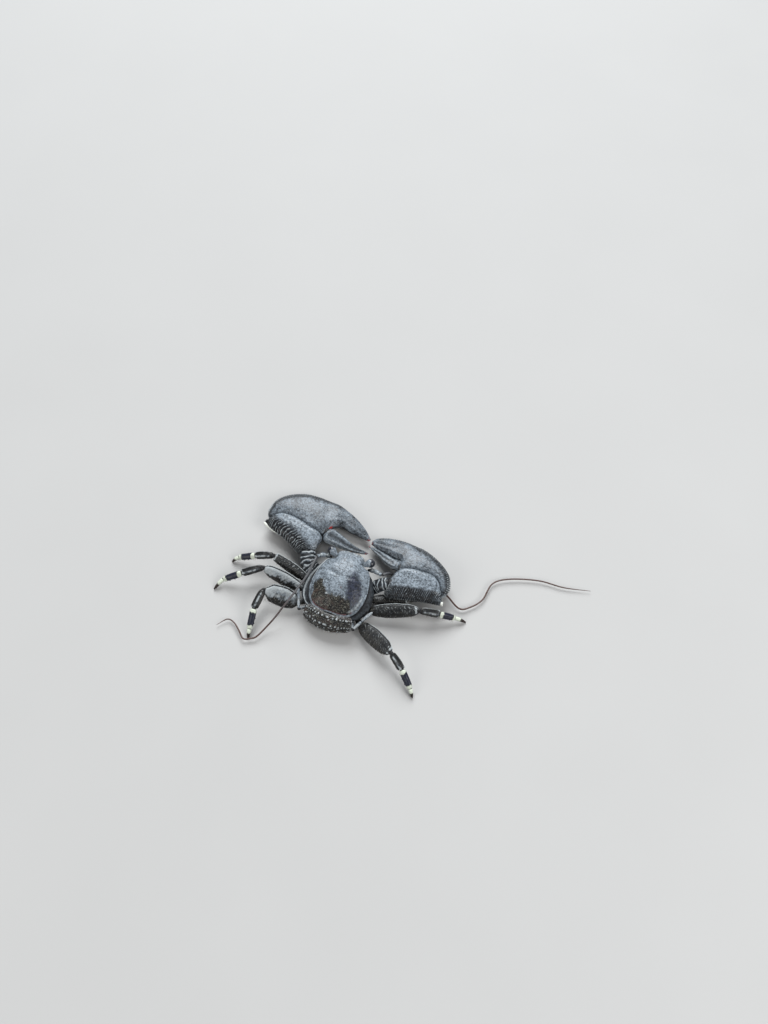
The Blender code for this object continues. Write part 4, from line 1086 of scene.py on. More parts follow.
class CRAB_OT_chelipeds(bpy.types.Operator):
    """Build both claws: arm, wrist, palm and moving finger"""
    bl_idname = "crab.chelipeds"
    bl_label = "Claws"

    def execute(self, context):
        sizes = context.scene.crab_sizes
        shell = finish(wet_shell, context)
        for name, claw in CLAWS.items():
            self.arm(name, claw, shell)
            self.wrist(name, claw, shell, sizes.ridge / MM)
            self.tooth(name, claw, shell)
            self.palm(name, claw, shell, sizes.tooth / MM)
            self.finger(name, claw, shell)
        return {"FINISHED"}

    def arm(self, name, claw, shell):
        """The short arm, with steep lines across its upper face."""
        socket = root_of(claw.wrist)
        path = (*claw.arm[:-1], socket + unit(socket - claw.arm[-2]) * 0.3 * MM)
        widest = claw.arm_half_width
        wide = stops((0, 1.0), (0.35, 0.85 * widest), (0.65, widest), (1, 0.85 * widest))
        high = stops((0, 0.35), (0.35, 0.5), (0.7, 0.9), (1, 0.6))
        rings, t, turn = plate(path, UP, wide, high, 160, 84, round_off=(0.05, 0.07))
        over = step(0.0, 0.06, turn) * step(0.5, 0.44, turn)
        lines = saw(t * ARM_LINES + 0.6 * lumps(rings, 1.1) + 0.25) * step(0.3, 0.4, t) * over
        lines = lines * (0.75 + 0.35 * lumps(rings, 0.35, 4.0))
        rings = raised(rings, lines * 0.13 + lumps(rings, 0.3) * 0.02)
        piece(f"cheliped_{name}_arm", rings, shell, "claw_shell", [f"cheliped_{name}_merus"],
              pale=step(0.35, 0.75, lines), dark=0.95 * over * step(0.45, 0.2, lines), grain=0.2, light=0.2)

    def wrist(self, name, claw, shell, ridge_height):
        """The wrist: a top made paler by painted sheen, a dark flank with raised lines, and a crease towards
        the palm.
        """
        rings, t, turn = blade(claw.wrist, claw.wrist_top, claw.wrist_belly, 460, 150, (0.03, 0.0))
        above = turn < 0.5
        depth = inset(rings)
        reach = claw.lines_reach * stops((0, 0.75), (0.3, 1), (0.8, 0.9), (0.95, 0.4), (1, 0.2))(t)
        fade = claw.lines_fade
        flank = step(fade, -fade, depth - reach + 0.2 * lumps(rings, 0.8)) * above
        flank = np.maximum(flank, near(turn, 0.0, 0.03) * ~above)
        bend = claw.lines_bend * (depth / reach) ** 2 * above
        lines = saw(t * claw.lines + bend + claw.lines_wave * lumps(rings, 0.9)) * flank
        lines = lines * (0.8 + 0.3 * lumps(rings, 0.35, 4.0)) * step(-0.8, -0.35, lumps(rings, 0.6, 7.0))
        lines = lines * step(*claw.lines_end, t)
        ridge = near(turn, 0.015, 0.02) * step(0.15, 0.3, t)
        seam = near(turn, 0.5, 0.09) * step(0.05, 0.12, t)
        swollen = near(turn, 0.42, 0.06) * step(0.08, 0.25, t) * step(0.97, 0.85, t)
        fringe = near(turn, 0.48, 0.022) * beat(t, WRIST_BEADS) * step(0.08, 0.16, t) * step(0.96, 0.85, t)
        inner = step(0.16, 0.05, t) * above
        outer = step(0.72, 0.85, t) * above
        grains = granules(rings, 0.28) * np.maximum(inner * (1 - flank), outer)
        swell = lumps(rings, 2.2, 6.0) * 0.05 + lumps(rings, 0.5) * 0.02
        height = (lines * 1.5 * ridge_height + ridge * 0.06 + fringe * 0.06 + seam * claw.crease + swell
                  + swollen * 0.28 + grains * 0.06)
        tone = claw.lines_pale + claw.root_pale * step(0.26, 0.1, t)
        pale = step(0.35, 0.8, lines) * tone + ridge * 0.3 + fringe * 0.5 + inner * grains * 0.8
        dark = flank * step(0.45, 0.2, lines) + near(turn, 0.5, 0.012) * 0.9 + near(turn, 0.45, 0.03) * 0.3
        # The light mark is painted sheen on the upper face, kept off the flank.
        piece(f"cheliped_{name}_wrist", raised(rings, height), shell, "claw_shell",
              [f"cheliped_{name}_carpus"], pale=pale, dark=dark, grain=grains * 0.7,
              light=0.9 * (1 - flank) * above)

    def tooth(self, name, claw, shell):
        """The white tooth at the outer end of the wrist's rear edge."""
        shift = np.array(claw.tooth_shift) * MM
        edge = [place + shift for place in claw.wrist[1][-claw.tooth_places:]]
        full = claw.tooth_size
        size = stops((0, 0.08), (0.4, 0.17 * full), (0.75, 0.33 * full), (0.93, 0.3 * full), (1, 0.14))
        rings, t, _ = plate(edge, UP, size, size, 90, 40, round_off=(0.04, 0.06))
        piece(f"cheliped_{name}_tooth", raised(rings, lumps(rings, 0.35) * 0.04), shell, "claw_shell",
              white=step(0.0, 0.3, t), pale=0.6)

    def palm(self, name, claw, shell, tooth_height):
        """The palm with its fixed finger, and rows of small teeth on its rim."""
        rings, t, turn = blade(claw.palm, PALM_TOP, claw.palm_belly, 550, 178, (0.02, 0.02))
        rings = eased(rings, hump(t, GAPE + 0.02, 0.07), claw.gape_rounding)
        above = turn < 0.5
        finger = step(GAPE, GAPE + 0.08, t)
        ends = step(0.01, 0.05, t) * step(0.97, 0.8, t)
        depth = inset(rings) + (turn > 0.5) * 9         # the lower face counts as far from the rim
        inner_rows = step(0.85, 0.5, t)
        teeth = near(turn, 0.006, 0.013) * beat(t, claw.rim_teeth) ** 1.5
        for place, shift, share in RIM_ROWS:
            row = hump(depth, place, 0.15) * beat(t, claw.rim_teeth, shift) ** 1.5 * share
            teeth = np.maximum(teeth, row * (inner_rows if place > 0.2 else 1))
        teeth = teeth * ends * (0.8 + 0.45 * lumps(rings, 0.5, 12.0))
        seam = near(turn, 0.5, 0.09) * step(GAPE + 0.01, GAPE - 0.05, t)
        swollen = near(turn, 0.43, 0.055) * step(GAPE - 0.02, GAPE - 0.2, t) * step(0.02, 0.12, t)
        fringe = near(turn, 0.465, 0.02) * beat(t, PALM_BEADS)
        fringe = fringe * step(GAPE, GAPE - 0.06, t) * step(0.02, 0.08, t)
        keel = near(turn, 0.33, 0.035) * finger * step(1, 0.85, t) + near(turn, 0.19, 0.05) * 0.5 * finger
        channel = near(turn, 0.27, 0.03) * step(GAPE, GAPE + 0.25, t) * step(1, 0.9, t)
        cusps = near(turn, 0.5, 0.04) * beat(t, PALM_CUSPS) * finger
        rim = step(1.45, 0.75, depth + 0.35 * lumps(rings, 0.6) + 1.0 * step(0.45, 0.8, t)) * above * ends
        grains = granules(rings, 0.27) * above
        swell = lumps(rings, 2.6, 2.0) * 0.05 + lumps(rings, 0.7) * 0.02
        height = (teeth * 1.3 * tooth_height + fringe * 0.06 + keel * 0.12 - channel * 0.06 + cusps * 0.05
                  + swell + grains * 0.03 + seam * claw.crease + swollen * 0.25)
        spot = step(0.2, 0.7, hump(t, GAPE + 0.055, 0.022) * near(turn, 0.47, 0.05)) * claw.gape_red
        tip = step(0.968, 0.995, t) * step(-0.3, 0.4, lumps(rings, 0.3)) * claw.tip_red
        outer_end = hump(t, 0.11, 0.06) * step(0.8, 0.3, depth) * claw.end_pale
        # Painted shade on the underside: its teeth are less pale there and the under mask darkens it.
        pale = (teeth * (0.9 - 0.4 * (turn > 0.5)) + fringe * 0.45 + keel * 0.25
                + step(0.04, 0.0, t) * above * 0.6 + outer_end)
        under = step(0.55, 0.62, turn) * step(0.95, 0.88, turn)
        dark = (near(turn, 0.5, 0.02) * 0.8 + channel * 0.4 + rim * (0.76 - teeth) + under * 0.2
                + above * (1 - grains) * 0.16)
        # Painted sheen in broad patches on the upper face, less on the rim and the fixed finger.
        light = (0.45 + 0.5 * lumps(rings, 2.4, 8.0) - 0.45 * rim - 0.15 * finger) * above
        piece(f"cheliped_{name}_hand", raised(rings, height), shell, "claw_shell",
              [f"cheliped_{name}_palm"], pale=pale, dark=dark, red=np.maximum(spot, tip),
              grain=grains * 0.7, light=light)

    def finger(self, name, claw, shell):
        """The moving finger, with two ridges and a channel between them."""
        hinge = root_of(claw.finger)
        tuck = unit(hinge - claw.finger[0][2]) * claw.finger_tuck * MM
        edges = [(edge[0] + tuck, *edge[1:]) for edge in claw.finger]
        rings, t, turn = blade(edges, FINGER_TOP, FINGER_BELLY, 220, 90, (0.05, 0.02))
        above = turn < 0.5
        ridges = (near(turn, 0.14, 0.03) + near(turn, 0.34, 0.03)) * step(0.08, 0.2, t) * step(1, 0.8, t)
        channel = near(turn, 0.24, 0.045) * step(0.12, 0.25, t) * step(1, 0.85, t)
        cusps = near(turn, 0.0, 0.05) * beat(t, FINGER_CUSPS) * step(0.2, 0.3, t)
        hem = near(turn, 0.46, 0.03) * step(0.1, 0.2, t)
        growth = near(turn, 0.0, 0.1) * claw.finger_growth * (step(1, 0.8, t) + 0.8 * hump(t, 0.08, 0.12))
        grains = granules(rings, 0.25) * above
        height = (ridges * 0.1 - channel * 0.08 + cusps * 0.05 + lumps(rings, 0.6) * 0.02 + growth
                  + grains * 0.02)
        dark = channel * 0.85 + hump(t, 0.1, 0.02) * 0.5 + near(turn, 0.02, 0.06) * 0.6
        red = step(0.955, 0.99, t) * step(-0.3, 0.4, lumps(rings, 0.3))
        # The light mark is painted sheen on the upper face.
        piece(f"cheliped_{name}_moving_finger", raised(rings, height), shell, "claw_shell",
              [f"cheliped_{name}_finger"], pale=ridges * 0.5 + cusps * 0.3 + hem * 0.7, dark=dark,
              red=red * 0.9, grain=grains * 0.3, light=0.6 * above)


# Walking legs

def leg(half_width, roll, blue, *places):
    """A walking leg: half width of its thigh in millimetres, roll of its broad face in degrees, how
    blue-grey the thigh is, and hip, bend beside the body, knee, wrist, ankle and tip."""
    roll = math.radians(roll)
    normal = np.array((0, -math.sin(roll), math.cos(roll)))
    rear = np.array((0, -math.cos(roll), -math.sin(roll)))
    return SimpleNamespace(half_width=half_width, blue=blue, normal=normal, rear=rear, places=route(*places))


LEGS = {
    "left_2": leg(1.1, 40, 0.12, (-4.85, -0.7, 1.7), (-6.9, -0.9, 1.95), (-14.6, 0.9, 3.1),
                  (-18.1, -0.1, 2.4), (-21.5, -1.1, 1.05), (-22.6, -2.1, 0.1)),
    "left_3": leg(1.4, 42, 1.0, (-4.85, -2.6, 1.7), (-7.2, -3.0, 1.95), (-15.4, -2.1, 3.2),
                  (-19.0, -4.4, 2.6), (-22.4, -6.4, 1.1), (-23.5, -8.6, 0.1)),
    "left_4": leg(1.95, 32, 0.97, (-4.6, -4.45, 1.7), (-6.8, -5.9, 1.95), (-13.5, -6.3, 3.2),
                  (-13.9, -10.1, 2.45), (-13.45, -13.8, 1.0), (-13.2, -15.3, 0.1)),
    "right_2": leg(1.0, 0, 0.12, (4.85, -0.7, 1.7), (6.5, -0.6, 1.75), (12.9, 2.1, 1.4),
                   (15.9, 3.4, 1.2), (17.7, 5.4, 0.75), (18.1, 7.0, 0.1)),
    "right_3": leg(1.35, 40, 0.12, (4.85, -2.6, 1.7), (7.1, -2.8, 1.95), (15.8, 0.0, 3.0),
                   (19.5, 0.85, 2.3), (22.5, 1.6, 1.0), (24.6, 1.8, 0.1)),
    "right_4": leg(1.6, 30, 0.12, (4.6, -4.45, 1.7), (6.2, -6.1, 1.95), (13.6, -9.6, 3.2),
                   (16.3, -11.6, 2.4), (18.9, -14.1, 1.0), (19.7, -15.3, 0.1)),
}
THIGH_THICKNESS = 0.5           # mm from its middle to either face
THIGH_LINES = 26                # broken lines across a thigh
PLATE_TUCK = -0.1 * MM          # each plate starts just inside the one before it
SMALL_LEGS = {                  # root, elbow and tip
    "left": route((-4.15, -5.5, 1.7), (-5.8, -7.4, 2.9), (-7.45, -3.6, 3.3)),
    "right": route((4.15, -5.5, 1.7), (5.3, -7.85, 3.3), (7.65, -3.5, 3.75)),
}


def joint_gap(before, after, half):
    """How far each of two plates stops short of the joint between them, as the solids do."""
    bend = math.acos(float(np.clip(unit(before) @ unit(after), -1, 1)))
    return 0.05 * MM + half * MM * math.sin(bend / 2)


def stretch(start, end, trim_start, trim_end):
    """The ends of a stretch, each moved in by a trim."""
    along = unit(end - start)
    return start + along * trim_start, end - along * trim_end


def arched(start, end, rise):
    """A path between two places that rises by millimetres in its middle."""
    return start, (start + end) / 2 + np.array((0, 0, rise * MM)), end


class CRAB_OT_walking_legs(bpy.types.Operator):
    """Build the three pairs of walking legs, four plates each"""
    bl_idname = "crab.walking_legs"
    bl_label = "Walking legs"

    def execute(self, context):
        shell = finish(banded_leg, context)
        for name, limb in LEGS.items():
            hip, bend, knee, wrist, ankle, tip = limb.places
            front = 0.0 if name.startswith("left") else 0.5     # where on the turn the front edge lies
            thigh, shin, foot, nail = knee - bend, wrist - knee, ankle - wrist, tip - ankle
            joints = ((thigh, shin, 0.5), (shin, foot, 0.3), (foot, nail, 0.3))
            knee_gap, wrist_gap, ankle_gap = (joint_gap(*joint) * 0.5 for joint in joints)
            self.merus(name, limb, (hip, *stretch(bend, knee, 0, knee_gap)), front, shell)
            self.carpus(name, limb, stretch(knee, wrist, PLATE_TUCK, wrist_gap), front, shell)
            self.propodus(name, limb, stretch(wrist, ankle, PLATE_TUCK, ankle_gap), front, shell)
            self.dactyl(name, stretch(ankle, tip, PLATE_TUCK, 0), shell)
        return {"FINISHED"}

    def merus(self, name, limb, path, front, shell):
        """The thigh: a flat plate with a toothed front crest and broken lines across it."""
        hip, bend, end = path
        width = limb.half_width
        wide = stops((0, 0.5), (0.3, 0.62), (0.42, width * 0.78), (0.62, width), (0.85, width * 0.88),
                     (0.96, 0.78), (1, 0.62))
        high = stops((0, 0.32), (0.3, 0.38), (0.5, THIGH_THICKNESS), (0.85, THIGH_THICKNESS), (1, 0.42))
        rings, t, turn = plate((hip, bend, bend + (end - bend) * 0.5, end), limb.normal, wide, high, 220, 96,
                               round_off=(0.02, 0.05))
        plain = step(0.34, 0.42, t)
        joints = hump(t, 0.12, 0.012) + hump(t, 0.29, 0.014) + hump(t, 0.985, 0.012)
        side = np.abs((turn - front + 0.5) % 1 - 0.5)   # 0 at the front edge, half a turn at the rear
        to_front = near(side, 0, 0.25)
        lines = saw(t * THIGH_LINES + 2.2 * to_front + 0.8 * lumps(rings, 0.8)) * plain
        lines = lines * step(-0.5, 0.4, lumps(rings, 0.3, 4.0))
        crest = near(side, 0, 0.03) * step(0.3, 0.42, t)
        teeth = crest * beat(t, THIGH_LINES) * plain
        groove = near(side, 0.055, 0.018) * plain
        rib = near(side, 0.16, 0.02) * plain
        rear_crest = near(side, 0.5, 0.02) * plain
        far_end = step(0.75, 0.95, t)
        rim = hump(t, 0.955, 0.016) * step(-0.3, 0.3, lumps(rings, 0.5, 7.0))
        streak = near(side, 0.115, 0.02) * plain * step(-0.4, 0.2, lumps(rings, 0.7, 9.0))
        height = (lines * 0.07 + crest * 0.08 + teeth * 0.04 - groove * 0.07 + rear_crest * 0.04 + rib * 0.03
                  - joints * 0.08 + rim * 0.04 + lumps(rings, 0.9, 2.0) * 0.04)
        # The upper face is blue-grey towards the front, and palest near that edge, where a highlight is
        # painted, and towards the far end.
        upper = step(0.06, 0.1, turn) * step(0.44, 0.4, turn)
        reach = 0.26 + 0.1 * far_end
        blue = upper * limb.blue * step(0.05, -0.05, side - reach + 0.08 * lumps(rings, 0.6, 5.0))
        fold = near(side, 0.15, 0.014) * step(0.4, 0.5, t) * step(0.9, 0.78, t) * blue
        paler_face_and_highlight = blue * (0.44 + 0.3 * far_end + 0.4 * hump(side, 0.1, 0.03))
        line_pale = step(0.4, 1, lines) * (0.6 - 0.4 * blue) * (1 - near(side, 0, 0.06))
        pale = line_pale + crest * 0.75 + rim * 0.8 + rib * 0.2 + streak * blue * 0.5 + paler_face_and_highlight
        dark = groove + 0.65 * step(0.5, 0.15, lines) * (1 - blue) + near(side, 0.22, 0.02) * 0.3
        piece(f"leg_{name}_thigh", raised(rings, height), shell, "leg_shell", [f"leg_{name}_merus"],
              pale=pale, blue=blue * plain, dark=dark * plain + fold, navy=joints * 0.8)

    def carpus(self, name, limb, ends, front, shell):
        """The shin: two pale crests with a furrow between them, and a spine at its far end."""
        wide = stops((0, 0.5), (0.2, 0.66), (0.7, 0.74), (0.9, 0.68), (1, 0.52))
        high = stops((0, 0.42), (0.3, 0.5), (0.8, 0.5), (1, 0.42))
        rings, t, turn = plate(arched(*ends, 0.15), limb.normal, wide, high, 110, 64, round_off=(0.12, 0.08))
        crest = near(turn, front, 0.04) * step(0.08, 0.2, t)
        second = near(turn, 0.25, 0.04) * step(0.1, 0.3, t)
        furrow = near(turn, 0.375 if front else 0.125, 0.04) * step(0.1, 0.2, t)
        spine = near(turn, front, 0.05) * hump(t, 0.93, 0.04)
        height = crest * 0.09 + second * 0.08 + spine * 0.1 - furrow * 0.06 + lumps(rings, 0.5) * 0.04
        knob = step(0.86, 0.95, t) * step(-0.2, 0.3, lumps(rings, 0.5, 3.0))
        pale = crest * 0.6 + second * 0.75 * step(-0.5, 0.1, lumps(rings, 0.5)) + knob * 0.5
        piece(f"leg_{name}_shin", raised(rings, height), shell, "leg_shell", [f"leg_{name}_carpus"],
              pale=pale, blue=second * 0.5, dark=0.45 + furrow, navy=hump(t, 0.03, 0.03))

    def propodus(self, name, limb, ends, front, shell):
        """The foot: blue-black between two white bands, with three spines below."""
        wide = stops((0, 0.52), (0.2, 0.64), (0.7, 0.6), (1, 0.44))
        high = stops((0, 0.42), (0.3, 0.5), (0.8, 0.46), (1, 0.36))
        rings, t, turn = plate(arched(*ends, 0), limb.normal, wide, high, 120, 64, round_off=(0.12, 0.08))
        crest = near(turn, front, 0.03)
        spines = near(turn, front + 0.5, 0.03) * humps(t, (0.45, 0.7, 0.93), 0.025)
        height = crest * 0.05 + spines * 0.16 + lumps(rings, 0.45) * 0.04
        edge = t + 0.06 * lumps(rings, 0.5, 8.0)
        # The white bands fade towards the underside: painted shade, whitest on top.
        over = 0.55 + 0.45 * np.sin(2 * np.pi * turn)
        band = (step(0.3, 0.16, edge) * step(0.0, 0.08, t) + step(0.74, 0.88, edge)) * over
        streak = near(turn, 0.25, 0.035) * step(0.25, 0.4, t) * step(0.8, 0.65, t)
        navy = step(0.14, 0.3, t) * step(0.86, 0.76, t) * (1 - 0.4 * streak)
        piece(f"leg_{name}_foot", raised(rings, height), shell, "leg_shell", [f"leg_{name}_propodus"],
              pale=crest * 0.15 + spines * 0.6, blue=streak * 0.4, dark=0.3, navy=navy, band=band)

    def dactyl(self, name, ends, shell):
        """The last plate: white at first, then a bent horny nail with small spines below."""
        wide = stops((0, 0.4), (0.3, 0.38), (0.75, 0.25), (1, 0.12))
        high = stops((0, 0.34), (0.3, 0.36), (0.75, 0.25), (1, 0.12))
        rings, t, turn = plate(arched(*ends, 0.16), UP, wide, high, 90, 40, round_off=(0.14, 0.04))
        spines = near(turn, 0.75, 0.05) * humps(t, (0.35, 0.55, 0.72), 0.03)
        # The white band fades towards the underside: painted shade, whitest on top.
        band = step(0.62, 0.38, t + 0.08 * lumps(rings, 0.5)) * (0.65 + 0.35 * np.sin(2 * np.pi * turn))
        rings = raised(rings, spines * 0.12 + lumps(rings, 0.3) * 0.03)
        piece(f"leg_{name}_claw", rings, shell, "leg_tip", [f"leg_{name}_dactyl"], pale=0.05, dark=0.2,
              band=band * 0.9, nail=step(0.42, 0.66, t) + spines)


class CRAB_OT_small_legs(bpy.types.Operator):
    """Build the thin last pair of legs, folded up beside the rear of the back"""
    bl_idname = "crab.small_legs"
    bl_label = "Last legs"

    def execute(self, context):
        shell = finish(banded_leg, context)
        arm = stops((0, 0.24), (0.5, 0.3), (1, 0.24))
        hand = stops((0, 0.24), (0.2, 0.29), (0.45, 0.25), (0.7, 0.33), (0.9, 0.28), (1, 0.12))
        for name, (root, elbow, tip) in SMALL_LEGS.items():
            ends = stretch(root, elbow, 0, 0.15 * MM)
            rings, t, _ = plate(arched(*ends, 0), UP, arm, arm, 90, 48, round_off=(0.06, 0.12))
            rings = raised(rings, lumps(rings, 0.3) * 0.02 - hump(t, 0.3, 0.03) * 0.06)
            piece(f"leg_{name}_5_arm", rings, shell, "leg_shell", [f"leg_{name}_5_merus"], blue=0.5,
                  pale=0.15, navy=hump(t, 0.3, 0.03))
            rings, t, turn = plate(arched(elbow, tip, 0.1), UP, hand, hand, 130, 56, round_off=(0.08, 0.06))
            slit = (near(turn, 0.0, 0.03) + near(turn, 0.5, 0.03)) * step(0.8, 0.86, t)
            joints = hump(t, 0.44, 0.02)
            pale = near(turn, 0.25, 0.05) * 0.3 + step(0.85, 1, t) * 0.4
            flanks = near(turn, 0.0, 0.1) + near(turn, 0.5, 0.1)
            rings = raised(rings, lumps(rings, 0.3) * 0.02 - slit * 0.1 - joints * 0.07)
            piece(f"leg_{name}_5_fingers", rings, shell, "leg_shell", [f"leg_{name}_5_hand"], blue=0.85,
                  pale=pale, dark=flanks * 0.6, navy=(joints + slit) * 0.7)
        return {"FINISHED"}


# Soft skin in the joints, kept nearly black as painted shade in the gaps

def about(at, before, after, back=0.9, on=0.9):
    """A path through a joint, from some millimetres before it to some millimetres after it."""
    return at + unit(before - at) * back * MM, at, at + unit(after - at) * on * MM


class CRAB_OT_joint_skin(bpy.types.Operator):
    """Build the soft skin that shows in the joints, dark as painted shade in their gaps"""
    bl_idname = "crab.joint_skin"
    bl_label = "Joint skin"

    def execute(self, context):
        skin = finish(joint_skin, context)
        for name, path, wide, high, normal in (*self.leg_joints(), *self.body_joints()):
            reach = stops((0, wide * 0.85), (0.5, wide), (1, wide * 0.85))
            depth = stops((0, high * 0.85), (0.5, high), (1, high * 0.85))
            rings, t, _ = plate(path, normal, reach, depth, 36, 24, round_off=(0.2, 0.2))
            rings = raised(rings, beat(t, 7) * 0.03 + lumps(rings, 0.3) * 0.02)
            piece(f"{name}_skin", rings, skin, "leg_shell")
        return {"FINISHED"}

    def leg_joints(self):
        """Name, path, half width and half height in millimetres, and the way the broad face looks."""
        for name, limb in LEGS.items():
            hip, bend, knee, wrist, ankle, tip = limb.places
            yield f"hip_{name}", (hip + (hip - bend) * 0.4, hip, hip + (bend - hip) * 0.3), 0.4, 0.24, UP
            for joint, path, size in (("knee", about(knee, bend, wrist), 0.4),
                                      ("wrist", about(wrist, knee, ankle), 0.36),
                                      ("ankle", about(ankle, wrist, tip), 0.28)):
                yield f"{joint}_{name}", path, size, size * 0.8, limb.normal

    def body_joints(self):
        """The same for the joints of the claws, last legs, feelers and tail."""
        for side, name in SIDES:
            claw, base, whip = CLAWS[name], PEDUNCLES[name], FEELERS[name]
            arm, wrist, hinge = claw.arm, root_of(claw.wrist), root_of(claw.finger)
            shoulder = (mm(3.9 * side, 1.3, 1.8), mm(4.6 * side, 1.3, 1.85), arm[1])
            elbow = (arm[2], arm[3], wrist + unit(wrist - arm[2]) * 1.2 * MM)
            crease = [place + np.array((0, 0.15, -0.75)) * MM for place in claw.wrist[0][2:-2]]
            out = unit(claw.finger[0][2] - hinge)
            root, bend, tip = SMALL_LEGS[name]
            yield f"shoulder_{name}", shoulder, 0.75, 0.3, UP
            yield f"elbow_{name}", elbow, 0.85, 0.4, UP
            yield f"crease_{name}", crease, 0.85, 0.3, UP
            yield f"hinge_{name}", (hinge - out * 1.1 * MM, hinge, hinge + out * 0.9 * MM), 0.75, 0.45, UP
            along = bend - root
            yield f"small_hip_{name}", (root - along * 0.25, root, root + along * 0.15), 0.22, 0.22, UP
            yield f"small_elbow_{name}", about(bend, root, tip, 0.5, 0.6), 0.22, 0.22, UP
            inside = base[0] + np.array((-0.9 * side, -0.2, -0.1)) * MM
            yield f"feeler_root_{name}", (inside, base[0], base[1]), 0.3, 0.3, UP
            neck = whip[0] + (whip[1] - whip[0]) * 0.2
            yield f"feeler_neck_{name}", (base[1], base[2], neck), 0.22, 0.22, UP
        yield "waist", route((-3.3, -6.6, 2.7), (0, -6.9, 2.75), (3.3, -6.6, 2.7)), 0.75, 0.3, UP
        yield "tail_fold", route((-3.6, -8.05, 1.55), (0, -8.65, 1.55), (3.6, -8.05, 1.55)), 0.3, 0.45, UP


# Hairs

HAIR_RINGS = 5                  # rings of corners in each hair, below its point
HAIR_SIDES = 4
HAIR_DROOP = 0.15               # share of its length that a hair's point sinks


def hair_mesh(name, roots, ways, lengths, thickness):
    """Tapered hairs as one mesh: a few rings of corners and a point for each."""
    t = np.linspace(0, 1, HAIR_RINGS + 1)[:, None, None]
    line = roots + ways * lengths[:, None] * t - np.array(UP) * (lengths[:, None] * HAIR_DROOP) * t * t
    line[..., 2] = np.maximum(line[..., 2], 0.02 * MM)
    side = unit(np.cross(ways, (0.3, 0.2, 1.0)))
    other = np.cross(side, ways)
    radius = thickness / 2 * (1 - 0.85 * t[:-1])
    corners = [line[:-1] + (side * math.cos(turn) + other * math.sin(turn)) * radius
               for turn in (2 * math.pi * k / HAIR_SIDES for k in range(HAIR_SIDES))]
    count, point = len(roots), HAIR_RINGS * HAIR_SIDES
    body = np.stack(corners, axis=2)                    # rings, hairs, corners, xyz
    body = body.transpose(1, 0, 2, 3).reshape(count, point, 3)
    places = np.concatenate((body, line[-1][:, None]), axis=1)
    around = [(k, (k + 1) % HAIR_SIDES) for k in range(HAIR_SIDES)]
    starts = range(0, point - HAIR_SIDES, HAIR_SIDES)
    shape = [(s + a, s + b, s + HAIR_SIDES + b, s + HAIR_SIDES + a) for s in starts for a, b in around]
    shape += [(starts[-1] + HAIR_SIDES + a, starts[-1] + HAIR_SIDES + b, point) for a, b in around]
    shape.append(tuple(reversed(range(HAIR_SIDES))))
    faces = [tuple(hair * (point + 1) + corner for corner in face) for hair in range(count) for face in shape]
    mesh = bpy.data.meshes.new(name)
    mesh.from_pydata(places.reshape(-1, 3).tolist(), [], faces)
    mesh.shade_smooth()
    return mesh


def scattered(rng, path, normal, count, reach, spread, length):
    """Roots, ways and lengths of hairs along a path, standing out one way."""
    t = rng.uniform(0, 1, count)
    roots = curve(path, t) + np.array(normal) * reach * MM
    ways = unit(np.array(normal) + rng.normal(0, spread, (count, 3)))
    return roots, ways, rng.uniform(0.6, 1.0, count) * length * MM


class CRAB_OT_hairs(bpy.types.Operator):
    """Build the sparse stiff hairs of the legs, tail and mouth"""
    bl_idname = "crab.hairs"
    bl_label = "Hairs"

    def execute(self, context):
        rng = np.random.default_rng(11)
        groups = {"leg": [], "tail": [], "mouth": []}
        for limb in LEGS.values():
            _, bend, knee, wrist, ankle, tip = limb.places
            thigh = (bend + (knee - bend) * 0.3, bend + (knee - bend) * 0.9)
            nail = (ankle, ankle + (tip - ankle) * 0.7)
            groups["leg"] += [
                scattered(rng, thigh, limb.rear, 16, limb.half_width * 0.8, 0.35, 0.8),
                scattered(rng, (knee, wrist), limb.rear, 8, 0.5, 0.45, 0.7),
                scattered(rng, (wrist, ankle), limb.rear, 16, 0.45, 0.5, 0.75),
                scattered(rng, (wrist, ankle), -limb.rear, 8, 0.42, 0.5, 0.6),
                scattered(rng, nail, UP, 14, 0.12, 0.9, 0.45),
            ]
        rim = route((-4.5, -7.9, 2.0), (-2.4, -8.8, 2.0), (0, -9.15, 2.0), (2.4, -8.8, 2.0), (4.5, -7.9, 2.0))
        groups["tail"].append(scattered(rng, rim, (0, -0.95, -0.3), 90, 0.0, 0.3, 0.75))
        for side, _ in SIDES:
            mouth = (mm(1.9 * side, 5.6, 1.8), mm(1.65 * side, 6.3, 2.0), mm(0.95 * side, 6.9, 2.5))
            way = unit(np.array((-0.45 * side, 0.7, -0.6)))
            groups["mouth"].append(scattered(rng, mouth, way, 70, 0.1, 0.2, 0.9))
        for name, parts in groups.items():
            roots, ways, lengths = (np.concatenate(column) for column in zip(*parts))
            mesh = hair_mesh(f"{name}_hairs", roots, ways, lengths, context.scene.crab_sizes.hair)
            mesh.materials.append(finish(stiff_hair, context))
            placed(f"{name}_hairs", mesh, "leg_shell")
        return {"FINISHED"}


# Stage

